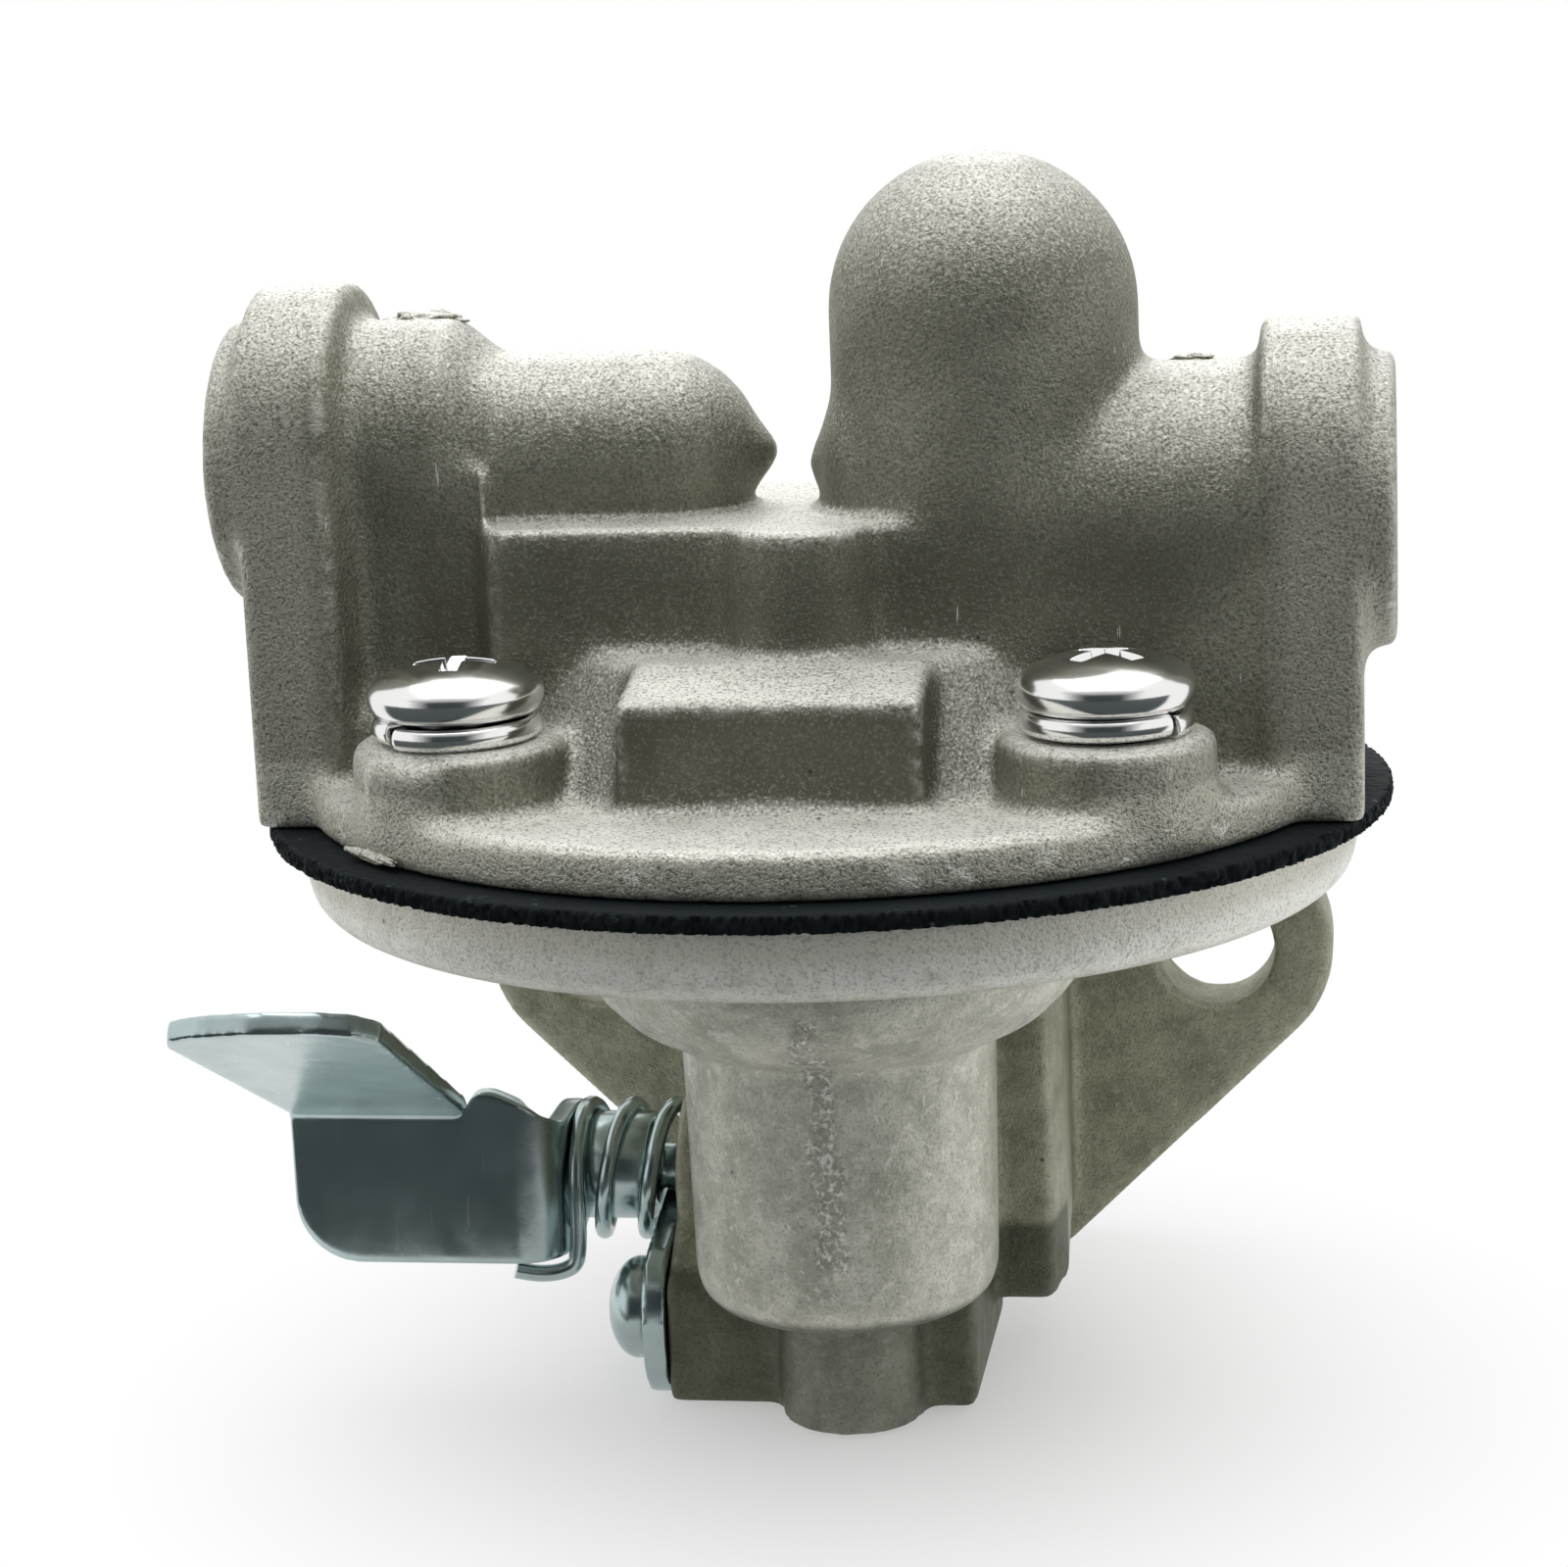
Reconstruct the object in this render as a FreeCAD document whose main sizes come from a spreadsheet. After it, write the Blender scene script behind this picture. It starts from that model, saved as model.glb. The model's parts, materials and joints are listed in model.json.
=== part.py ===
"""Mechanical fuel feed pump with a hand priming lever.

Two castings clamp a rubber diaphragm. The upper one holds the ports, the valves and an air dome. The lower
one holds the pull rod, the rocker that the engine's cam works, and the priming lever's shaft.
Row frame: origin at the middle of the two flange holes on the mating face, +Y into the engine, +Z up.
Each casting is drawn from its own clamping face, on the diaphragm's axis. Lengths are in millimetres.
"""

import FreeCAD, Part
import math
import os
import Sketcher

# Driving dimensions: name, value, meaning
SIZES = [
    ("flange_reach", 42.0, "diaphragm axis to the mating face"),
    ("flange_drop", 19.9, "clamping face of the lower body above the flange holes"),
    ("fit_gap", 0.02, "radial gap of pieces that are pressed or screwed together"),
    ("running_gap", 0.05, "radial gap of a shaft that turns or slides"),
    ("free_gap", 0.3, "gap between pieces that pass each other"),
    ("diaphragm_radius", 38.0, "cut edge of the diaphragm"),
    ("diaphragm_thickness", 1.2, "rubberised cloth"),
    ("bolt_circle_radius", 29.0, "circle of the four cover screws"),
    ("screw_radius", 3.0, "cover screw thread"),
    ("screw_head_radius", 5.6, "cover screw head"),
    ("screw_head_height", 3.4, "cover screw head"),
    ("screw_grip", 5.0, "thread depth in the lower body"),
    ("washer_radius", 5.4, "spring washer"),
    ("washer_thickness", 1.7, "spring washer"),
    ("washer_split", 0.6, "gap in the spring washer"),
    ("rim_radius", 35.2, "edge of the cover"),
    ("rim_height", 3.1, "edge of the cover"),
    ("slope_foot_radius", 25.6, "foot of the cover's cone"),
    ("plateau_radius", 20.0, "top of the cover's cone"),
    ("plateau_height", 11.5, "top of the cover's cone"),
    ("chamber_radius", 25.2, "free part of the diaphragm"),
    ("chamber_height", 5.0, "pumping chamber in the cover"),
    ("ceiling_radius", 18.5, "flat ceiling of the chamber"),
    ("screw_boss_radius", 6.75, "boss under a cover screw"),
    ("screw_boss_height", 7.3, "boss under a cover screw"),
    ("pad_width", 19.2, "bare pad on the cover's front"),
    ("pad_reach", 24.8, "front of the pad from the axis"),
    ("pad_depth", 7.0, "sloping top of the pad from front to back"),
    ("pad_height", 10.1, "front top edge of the pad"),
    ("port_forward", 5.0, "port axes in front of the diaphragm axis"),
    ("left_port_height", 23.3, "left port axis"),
    ("right_port_height", 19.3, "right port axis"),
    ("port_face_reach", 38.25, "port faces from the axis"),
    ("port_boss_radius", 9.45, "turned boss round a port"),
    ("port_thread_radius", 6.25, "core of the port thread"),
    ("port_thread_depth", 12.0, "depth of the port thread"),
    ("passage_radius", 3.8, "fuel passages"),
    ("plate_reach", 36.1, "outer face of a port plate"),
    ("plate_thickness", 6.4, "port plate"),
    ("plate_half_width", 9.5, "port plate"),
    ("plate_rise", 11.75, "top of a port plate above its port axis"),
    ("collar_radius", 9.2, "casting round a port thread"),
    ("collar_half_width", 8.5, "straight sides of a collar below its port axis"),
    ("collar_reach", 20.0, "inner end of the left collar"),
    ("shoulder_length", 3.0, "slope at the inner end of the left collar"),
    ("left_pipe_radius", 6.8, "thin pipe of the left port"),
    ("left_pipe_reach", 9.2, "start of the left pipe's blunt nose"),
    ("left_nose_length", 7.7, "blunt nose of the left pipe"),
    ("dome_offset", 12.0, "air dome from the axis"),
    ("dome_radius", 10.0, "air dome"),
    ("dome_height", 42.3, "top of the air dome"),
    ("air_radius", 5.4, "hollow of the air dome"),
    ("nose_radius", 7.4, "blunt nose of the right passage"),
    ("nose_offset", 5.1, "start of the right passage's nose"),
    ("nose_length", 4.9, "blunt nose of the right passage"),
    ("nose_height", 22.4, "axis of the right passage's nose"),
    ("block_left", 19.0, "left side of the valve block"),
    ("block_front", 14.8, "front of the valve block"),
    ("block_back", 8.0, "back of the valve block"),
    ("block_height", 19.6, "top of the valve block"),
    ("mid_boss_radius", 5.3, "round boss on the valve block"),
    ("mid_boss_offset", 0.9, "round boss on the valve block"),
    ("mid_boss_forward", 13.0, "round boss on the valve block"),
    ("inlet_offset", 9.5, "inlet valve left of the axis"),
    ("pocket_radius", 6.0, "valve pocket"),
    ("pocket_depth", 7.0, "valve pocket"),
    ("seat_thickness", 1.6, "valve seat ring"),
    ("seat_lip", 0.4, "raised lip of the valve seat"),
    ("seat_bore_radius", 2.6, "valve seat opening"),
    ("disc_radius", 4.2, "valve disc"),
    ("disc_thickness", 1.0, "valve disc"),
    ("cage_wall", 0.8, "valve cage"),
    ("valve_wire_radius", 0.22, "valve spring wire"),
    ("valve_coil_radius", 1.9, "valve spring"),
    ("disc_edge_radius", 35.6, "edge of the lower body"),
    ("disc_depth", 5.4, "thickness of the lower body's disc"),
    ("bowl_radius", 18.1, "bowl under the disc"),
    ("bowl_depth", 16.4, "underside of the bowl"),
    ("bowl_rounding", 9.0, "lower edge of the bowl"),
    ("barrel_radius", 10.9, "barrel below the bowl"),
    ("barrel_draft", 0.3, "barrel's taper over its length"),
    ("barrel_depth", 35.6, "underside of the barrel"),
    ("foot_radius", 5.1, "round foot below the barrel"),
    ("foot_offset", 0.1, "round foot below the barrel"),
    ("foot_depth", 44.4, "underside of the foot"),
    ("foot_block_depth", 44.2, "underside of the square foot block"),
    ("foot_block_right", 8.8, "right side of the foot block"),
    ("foot_block_back", 20.0, "back of the foot block"),
    ("housing_half_width", 13.3, "rocker housing"),
    ("housing_flare", 0.7, "bulge of the rocker housing's right side"),
    ("housing_front", 12.0, "front of the rocker housing"),
    ("housing_depth", 40.4, "underside of the rocker housing"),
    ("flange_thickness", 7.0, "mounting flange"),
    ("flange_depth", 44.0, "underside of the flange"),
    ("hole_spacing", 49.0, "flange holes"),
    ("hole_radius", 4.5, "flange holes"),
    ("ear_radius", 9.0, "flange ears"),
    ("taper_angle", 44.0, "slope of the flange's lower edges"),
    ("well_radius", 13.5, "well of the diaphragm spring"),
    ("well_depth", 14.4, "well of the diaphragm spring"),
    ("well_chamfer", 2.4, "lower corner of the spring's well"),
    ("dish_depth", 3.4, "hollow below the diaphragm"),
    ("dish_floor_radius", 17.0, "hollow below the diaphragm"),
    ("seal_radius", 7.0, "oil seal pocket"),
    ("seal_depth", 4.0, "oil seal pocket"),
    ("guide_depth", 21.5, "lower end of the rod's guide"),
    ("barrel_bore_radius", 7.5, "hollow of the barrel"),
    ("foot_bore_depth", 42.4, "hollow of the foot"),
    ("wall", 2.4, "bottom of the barrel"),
    ("cavity_half_width", 9.5, "rocker cavity"),
    ("cavity_front", 14.5, "rocker cavity"),
    ("cavity_roof", 13.4, "rocker cavity"),
    ("cavity_floor", 38.0, "rocker cavity"),
    ("slot_half_width", 4.0, "slot for the link"),
    ("slot_floor", 40.8, "slot for the link"),
    ("rod_radius", 2.5, "pull rod"),
    ("rod_foot_radius", 2.5, "pull rod below its guide"),
    ("rod_length", 38.6, "pull rod below the diaphragm"),
    ("rod_eye_half_width", 1.4, "eye of the pull rod"),
    ("rod_eye_top", 32.8, "eye of the pull rod"),
    ("rod_eye_height", 4.0, "eye of the pull rod"),
    ("plate_gauge", 1.2, "diaphragm plates"),
    ("lower_plate_radius", 12.8, "lower diaphragm plate"),
    ("upper_plate_radius", 14.0, "upper diaphragm plate"),
    ("rod_collar_radius", 4.2, "collar and rivet head of the pull rod"),
    ("rod_collar_height", 1.4, "collar and rivet head of the pull rod"),
    ("main_coil_radius", 9.6, "diaphragm spring"),
    ("main_wire_radius", 0.8, "diaphragm spring wire"),
    ("retainer_cup_radius", 10.8, "ring over the oil seal"),
    ("retainer_cup_gauge", 0.8, "ring over the oil seal"),
    ("pin_setback", 24.0, "rocker pin behind the diaphragm axis"),
    ("pin_drop", 29.4, "rocker pin below the clamping face"),
    ("pin_radius", 3.5, "rocker pin"),
    ("hub_radius", 6.4, "rocker and link hubs"),
    ("rocker_half_width", 9.2, "rocker"),
    ("rocker_gauge", 2.3, "rocker sheet"),
    ("rocker_reach", 44.0, "rocker tip from its pin"),
    ("rocker_fall", 6.0, "rocker tip below its pin"),
    ("link_gauge", 2.4, "link arm"),
    ("link_drop", 3.3, "top of the link arm below the priming shaft's axis"),
    ("link_height", 3.0, "link arm"),
    ("return_coil_radius", 3.4, "rocker return spring"),
    ("return_wire_radius", 0.6, "rocker return spring wire"),
    ("return_setback", 11.0, "rocker return spring behind the pin"),
    ("shaft_setback", 11.0, "priming shaft behind the diaphragm axis"),
    ("shaft_drop", 29.9, "priming shaft below the clamping face"),
    ("shaft_radius", 3.0, "priming shaft"),
    ("shaft_boss_radius", 5.8, "casting round the priming shaft"),
    ("shaft_end", 6.8, "inner end of the priming shaft"),
    ("shaft_flat", 0.8, "flat of the priming cam below the shaft's axis"),
    ("lever_gauge", 1.6, "lever sheet"),
    ("lever_inner", 21.3, "right face of the lever's ear"),
    ("lever_outer", 41.2, "left end of the lever's plate"),
    ("lever_forward", 7.0, "front of the lever's plate before the shaft"),
    ("lever_top", 5.8, "top of the lever's plate above the shaft's axis"),
    ("lever_bottom", 5.5, "bottom of the lever's plate below the shaft's axis"),
    ("lever_bend_radius", 3.6, "bend between plate and ear"),
    ("lever_corner_radius", 4.7, "lower corner of the lever's plate"),
    ("thumb_length", 22.6, "thumb pad from its fold"),
    ("thumb_width", 13.0, "thumb pad along its fold"),
    ("thumb_angle", 31.0, "slope of the thumb pad"),
    ("torsion_coil_radius", 4.6, "priming spring"),
    ("torsion_wire_radius", 0.57, "priming spring wire"),
    ("torsion_pitch", 3.2, "priming spring"),
    ("torsion_lean", 0.3, "lean of the priming spring's turns"),
    ("keeper_gauge", 1.7, "plate that keeps the shaft and pin"),
    ("keeper_slope", 13.0, "slope of the keeper's upper edge"),
    ("keeper_groove_radius", 1.7, "core of the shaft in the keeper's groove"),
    ("keeper_screw_setback", 5.5, "keeper screw behind the diaphragm axis"),
    ("keeper_screw_drop", 38.9, "keeper screw below the clamping face"),
    ("keeper_screw_radius", 2.5, "keeper screw thread"),
    ("keeper_head_radius", 3.7, "keeper screw head"),
    ("keeper_head_height", 3.4, "keeper screw head"),
    ("ring_wire_radius", 0.5, "O-ring of the priming shaft"),
]

NAMES = {name: "Sizes." + name for name, number, meaning in SIZES}
ALONG_X = FreeCAD.Rotation(FreeCAD.Vector(0, 1, 0), 90)
AGAINST_X = FreeCAD.Rotation(FreeCAD.Vector(0, 1, 0), -90)
ALONG_Y = FreeCAD.Rotation(FreeCAD.Vector(1, 0, 0), -90)
UPRIGHT = FreeCAD.Rotation()
DOWNWARD = FreeCAD.Rotation(FreeCAD.Vector(1, 0, 0), 180)
CLAMP_LEVEL = "{flange_drop}"
COVER_LEVEL = "{flange_drop} + {diaphragm_thickness}"
WELL_FLOOR = "{flange_drop} - {well_depth}"

doc = FreeCAD.newDocument("FuelFeedPump")
sheet = doc.addObject("Spreadsheet::Sheet", "Sizes")
PIECES = []


# Sheet and expressions


def fill_sheet():
    """Write the driving dimensions to the sheet, one row each."""
    for row, (name, number, meaning) in enumerate(SIZES, start=1):
        sheet.set(f"A{row}", meaning)
        sheet.set(f"B{row}", str(number))
        sheet.setAlias(f"B{row}", name)
    doc.recompute()


def formula(text):
    """Turn the names in braces into cells of the sheet."""
    return text.format_map(NAMES)


def value(text):
    """The present value of a formula."""
    return float(sheet.evalExpression(formula(text)))


def bind(item, target, text):
    """Tie a property to a formula."""
    item.setExpression(target, formula(text))


def place(item, x, y, z, rotation=UPRIGHT):
    """Put an object at a place worked out from the sheet."""
    item.Placement = FreeCAD.Placement(FreeCAD.Vector(value(x), value(y), value(z)), rotation)
    bind(item, "Placement.Base.x", x)
    bind(item, "Placement.Base.y", y)
    bind(item, "Placement.Base.z", z)


# Features shared by the pieces


def piece(label, x="0", y="-{flange_reach}", z=CLAMP_LEVEL, rotation=UPRIGHT):
    """A new body, placed in the row frame."""
    body = doc.addObject("PartDesign::Body", label)
    body.Label = label
    place(body, x, y, z, rotation)
    PIECES.append(body)
    return body


def sketch(body, role, offset="0"):
    """An empty sketch on an origin plane of the body, moved along the plane's normal."""
    drawing = body.newObject("Sketcher::SketchObject", "Outline")
    plane = next(item for item in body.Origin.OriginFeatures if item.Role == role)
    drawing.AttachmentSupport = (plane, [""])
    drawing.MapMode = "FlatFace"
    bind(drawing, "AttachmentOffset.Base.z", offset)
    return drawing


def pin_point(drawing, line, position, x, y):
    """Fix a point of the drawing at two formulas."""
    for kind, text in (("DistanceX", x), ("DistanceY", y)):
        fixed = Sketcher.Constraint(kind, -1, 1, line, position, value(text))
        number = drawing.addConstraint(fixed)
        bind(drawing, f"Constraints[{number}]", text)


def polygon(drawing, corners):
    """A closed outline of straight lines through corners given by formulas."""
    first = drawing.GeometryCount
    spots = [FreeCAD.Vector(value(x), value(y), 0) for x, y in corners]
    count = len(spots)
    for index in range(count):
        drawing.addGeometry(Part.LineSegment(spots[index], spots[(index + 1) % count]), False)
    for index in range(count):
        following = first + (index + 1) % count
        drawing.addConstraint(Sketcher.Constraint("Coincident", first + index, 2, following, 1))
    for index, (x, y) in enumerate(corners):
        pin_point(drawing, first + index, 1, x, y)


def ring(drawing, x, y, radius):
    """A circle at a place given by formulas."""
    centre = FreeCAD.Vector(value(x), value(y), 0)
    line = drawing.addGeometry(Part.Circle(centre, FreeCAD.Vector(0, 0, 1), value(radius)), False)
    pin_point(drawing, line, 3, x, y)
    number = drawing.addConstraint(Sketcher.Constraint("Radius", line, value(radius)))
    bind(drawing, f"Constraints[{number}]", radius)


def pan_head(radius, height):
    """Upper outline of a pan head from its edge to its axis, as three short slopes."""
    return [
        (radius, "0"),
        (radius, f"{height} * 0.45"),
        (f"{radius} * 0.95", f"{height} * 0.75"),
        (f"{radius} * 0.8", f"{height} * 0.95"),
        (f"{radius} * 0.6", height),
        ("0", height),
    ]


def rounding(radius, height, size, steps=3):
    """Outline of a rounded lower edge, from the side down to the underside, in short slopes."""
    angles = [90 * step / steps for step in range(steps + 1)]
    across = [f"({radius}) - ({size}) * (1 - cos({angle}))" for angle in angles]
    down = [f"({height}) + ({size}) * (1 - sin({angle}))" for angle in angles]
    return list(zip(across, down))


def turned(body, corners):
    """Turn an outline of radius and height about the body's own Z axis."""
    drawing = sketch(body, "XZ_Plane")
    polygon(drawing, corners)
    feature = body.newObject("PartDesign::Revolution", "Turned")
    feature.Profile = drawing
    feature.ReferenceAxis = (drawing, ["V_Axis"])
    feature.Angle = 360
    return feature


def pad(body, role, corners, length, offset="0"):
    """Extrude an outline along the normal of its plane."""
    drawing = sketch(body, role, offset)
    polygon(drawing, corners)
    feature = body.newObject("PartDesign::Pad", "Pad")
    feature.Profile = drawing
    bind(feature, "Length", length)
    return feature


def pocket(body, role, corners, length):
    """Cut an outline through both sides of its plane."""
    drawing = sketch(body, role)
    polygon(drawing, corners)
    feature = body.newObject("PartDesign::Pocket", "Pocket")
    feature.Profile = drawing
    feature.SideType = "Symmetric"
    bind(feature, "Length", length)
    return feature


def cylinder(body, kind, radius, length, x, y, z, rotation=UPRIGHT):
    """An additive or subtractive cylinder."""
    feature = body.newObject(f"PartDesign::{kind}Cylinder", "Round")
    bind(feature, "Radius", radius)
    bind(feature, "Height", length)
    place(feature, x, y, z, rotation)
    return feature


def box(body, kind, low, high):
    """An additive or subtractive box between two corners."""
    feature = body.newObject(f"PartDesign::{kind}Box", "Block")
    for name, start, end in zip(("Length", "Width", "Height"), low, high):
        bind(feature, name, f"({end}) - ({start})")
    place(feature, *low)
    return feature


def sphere(body, kind, radius, x, y, z):
    """An additive or subtractive ball."""
    feature = body.newObject(f"PartDesign::{kind}Sphere", "Ball")
    bind(feature, "Radius", radius)
    place(feature, x, y, z)
    return feature


def rounded(body, feature, radius, wanted):
    """Round the edges of the last feature whose middle point passes the test."""
    doc.recompute()
    edges = feature.Shape.Edges
    names = [f"Edge{number}" for number, edge in enumerate(edges, start=1) if wanted(edge)]
    fillet = body.newObject("PartDesign::Fillet", "Rounding")
    fillet.Base = (feature, names)
    bind(fillet, "Radius", radius)
    return fillet


def runs_along(edge, axis):
    """Whether an edge is a straight line along an axis."""
    if not isinstance(edge.Curve, (Part.Line, Part.LineSegment)):
        return False
    return edge.tangentAt(edge.FirstParameter).cross(axis).Length < 1e-6


def near(number, text):
    """Whether a measured number equals a formula."""
    return abs(number - value(text)) < 0.01


def coil(body, radius, wire, height, turns, sides=6):
    """A wire wound about the body's Z axis, starting at its origin. Its section has a few flat sides."""
    drawing = sketch(body, "XZ_Plane")
    angles = [360 * side / sides for side in range(sides)]
    sides = [(f"cos({angle})", f"sin({angle})") for angle in angles]
    polygon(drawing, [(f"{radius} + {wire} * {x}", f"{wire} * {y}") for x, y in sides])
    feature = body.newObject("PartDesign::AdditiveHelix", "Coil")
    feature.Profile = drawing
    feature.ReferenceAxis = (drawing, ["V_Axis"])
    feature.Mode = "height-turns-angle"
    bind(feature, "Height", height)
    bind(feature, "Turns", turns)
    return feature


# Upper casting


def port_side(body, side, height):
    """Boss, plate and collar of one port. The side is -1 for the left port and 1 for the right one."""
    reach = {-1: "-{port_face_reach}", 1: "{plate_reach} - {plate_thickness}"}[side]
    length = "{port_face_reach} - {plate_reach} + {plate_thickness}"
    cylinder(body, "Additive", "{port_boss_radius}", length, reach, "-{port_forward}", height, ALONG_X)
    plate_left = {-1: "-{plate_reach}", 1: "{plate_reach} - {plate_thickness}"}[side]
    plate_right = {-1: "{plate_thickness} - {plate_reach}", 1: "{plate_reach}"}[side]
    arch = f"{height} + {{plate_rise}} - {{plate_half_width}}"
    front = "-{port_forward} - {plate_half_width}"
    back = "{plate_half_width} - {port_forward}"
    box(body, "Additive", (plate_left, front, "0"), (plate_right, back, arch))
    half_width = "{plate_half_width}"
    cylinder(body, "Additive", half_width, "{plate_thickness}", plate_left, "-{port_forward}", arch, ALONG_X)
    collar_left = {-1: "{plate_thickness} - {plate_reach}", 1: "{dome_offset}"}[side]
    collar_right = {-1: "-{collar_reach} - {shoulder_length}", 1: "{plate_reach} - {plate_thickness}"}[side]
    span = f"({collar_right}) - ({collar_left})"
    cylinder(body, "Additive", "{collar_radius}", span, collar_left, "-{port_forward}", height, ALONG_X)
    low = (collar_left, "-{port_forward} - {collar_half_width}", "{rim_height} / 2")
    foot_right = {-1: "-{collar_reach}", 1: collar_right}[side]
    high = (foot_right, "{collar_half_width} - {port_forward}", height)
    box(body, "Additive", low, high)


def valve_block(body):
    """Raised block over the two valves, with the round boss in front of it."""
    low = ("-{block_left}", "-{block_front}", "{plateau_height} / 2")
    high = ("{dome_offset}", "{block_back}", "{block_height}")
    box(body, "Additive", low, high)
    boss_height = "{block_height} - {plateau_height} / 2"
    place_y = "-{mid_boss_forward}"
    cylinder(
        body, "Additive", "{mid_boss_radius}", boss_height, "{mid_boss_offset}", place_y, "{plateau_height} / 2"
    )


def air_dome(body):
    """Upright dome over the outlet valve, and the blunt nose of the passage beside it."""
    height = "{dome_height} - {dome_radius} - {plateau_height} / 2"
    start = "{plateau_height} / 2"
    cylinder(body, "Additive", "{dome_radius}", height, "{dome_offset}", "-{port_forward}", start)
    top = "{dome_height} - {dome_radius}"
    sphere(body, "Additive", "{dome_radius}", "{dome_offset}", "-{port_forward}", top)
    length = "{dome_offset} - {nose_offset}"
    cylinder(
        body, "Additive", "{nose_radius}", length, "{nose_offset}", "-{port_forward}", "{nose_height}", ALONG_X
    )
    nose(body, "{nose_offset}", "-{nose_length}", "{nose_radius}", "{nose_height}")


def nose(body, start, length, radius, height):
    """Blunt round nose on the ports' line. A length below zero points to the left."""
    shape = [(0, 1), (0.27, 0.93), (0.48, 0.785), (0.65, 0.585), (0.78, 0.34), (0.94, 0.12), (1, 0)]
    rotation = ALONG_X if value(length) > 0 else AGAINST_X
    for (near_share, near_radius), (far_share, far_radius) in zip(shape, shape[1:]):
        step = body.newObject("PartDesign::AdditiveCone", "Nose")
        bind(step, "Radius1", f"{radius} * {near_radius}")
        bind(step, "Radius2", f"{radius} * {far_radius}")
        bind(step, "Height", f"abs({length}) * {far_share - near_share:.2f}")
        place(step, f"{start} + ({length}) * {near_share}", "-{port_forward}", height, rotation)


def cover_passages(body):
    """Chamber over the diaphragm, port threads, cross passages, valve pockets and the hollow of the dome."""
    chamber = body.newObject("PartDesign::SubtractiveCone", "Chamber")
    bind(chamber, "Radius1", "{chamber_radius}")
    bind(chamber, "Radius2", "{ceiling_radius}")
    bind(chamber, "Height", "{chamber_height}")
    ahead = "-{port_forward}"
    depth = "{port_thread_depth}"
    cylinder(
        body, "Subtractive", "{port_thread_radius}", depth, "-{port_face_reach}", ahead, "{left_port_height}", ALONG_X
    )
    inner_end = "{port_face_reach} - {inlet_offset}"
    cylinder(
        body, "Subtractive", "{passage_radius}", inner_end, "-{port_face_reach}", ahead, "{left_port_height}", ALONG_X
    )
    pocket_top = "({chamber_height} + {pocket_depth})"
    drop = f"{{left_port_height}} - {pocket_top}"
    cylinder(body, "Subtractive", "{passage_radius}", drop, "-{inlet_offset}", ahead, pocket_top)
    cylinder(body, "Subtractive", "{pocket_radius}", pocket_top, "-{inlet_offset}", ahead, "0")
    thread_start = "{port_face_reach} - {port_thread_depth}"
    cylinder(
        body, "Subtractive", "{port_thread_radius}", depth, thread_start, ahead, "{right_port_height}", ALONG_X
    )
    span = "{port_face_reach} - {dome_offset}"
    cylinder(
        body, "Subtractive", "{passage_radius}", span, "{dome_offset}", ahead, "{right_port_height}", ALONG_X
    )
    cylinder(body, "Subtractive", "{pocket_radius}", pocket_top, "{dome_offset}", ahead, "0")
    hollow = f"{{dome_height}} - {{dome_radius}} - {pocket_top}"
    cylinder(body, "Subtractive", "{air_radius}", hollow, "{dome_offset}", ahead, pocket_top)


def upper_cover():
    """Cast cover with both ports, the valve block and the air dome."""
    body = piece("upper_cover", z=COVER_LEVEL)
    turned(
        body,
        [
            ("0", "0"),
            ("{rim_radius}", "0"),
            ("{rim_radius}", "{rim_height}"),
            ("{slope_foot_radius}", "{rim_height}"),
            ("{plateau_radius}", "{plateau_height}"),
            ("0", "{plateau_height}"),
        ],
    )
    for x, y in screw_places():
        cylinder(body, "Additive", "{screw_boss_radius}", "{screw_boss_height} - 1", x, y, "1")
        spot_face = "{washer_radius} + 2 * {free_gap}"
        cylinder(body, "Subtractive", spot_face, "{plateau_height}", x, y, "{screw_boss_height}")
    outline = [
        ("-{pad_reach}", "{rim_height} / 2"),
        ("{pad_depth} - {pad_reach} + 2", "{rim_height} / 2"),
        ("{pad_depth} - {pad_reach} + 2", "{plateau_height}"),
        ("{pad_depth} - {pad_reach}", "{plateau_height}"),
        ("-{pad_reach}", "{pad_height}"),
    ]
    pad(body, "YZ_Plane", outline, "{pad_width}", "-{pad_width} / 2")
    valve_block(body)
    port_side(body, -1, "{left_port_height}")
    port_side(body, 1, "{right_port_height}")
    pipe_length = "{collar_reach} - {left_pipe_reach} + 1"
    pipe_start = "-{collar_reach} - 1"
    ahead = "-{port_forward}"
    cylinder(
        body, "Additive", "{left_pipe_radius}", pipe_length, pipe_start, ahead, "{left_port_height}", ALONG_X
    )
    shoulder = body.newObject("PartDesign::AdditiveCone", "Shoulder")
    bind(shoulder, "Radius1", "{collar_radius}")
    bind(shoulder, "Radius2", "{left_pipe_radius}")
    bind(shoulder, "Height", "{shoulder_length}")
    place(shoulder, "-{collar_reach} - {shoulder_length}", ahead, "{left_port_height}", ALONG_X)
    nose(body, "-{left_pipe_reach}", "{left_nose_length}", "{left_pipe_radius}", "{left_port_height}")
    air_dome(body)
    cover_passages(body)
    for x, y in screw_places():
        cylinder(body, "Subtractive", "{screw_radius} + {free_gap}", "{screw_boss_height} + 1", x, y, "0")


def screw_places():
    """The four cover screws, on the diagonals."""
    step = "{bolt_circle_radius} * cos(45)"
    return [(f"{a}{step}", f"{b}{step}") for a, b in (("-", "-"), ("", "-"), ("", ""), ("-", ""))]


# Lower casting


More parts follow.
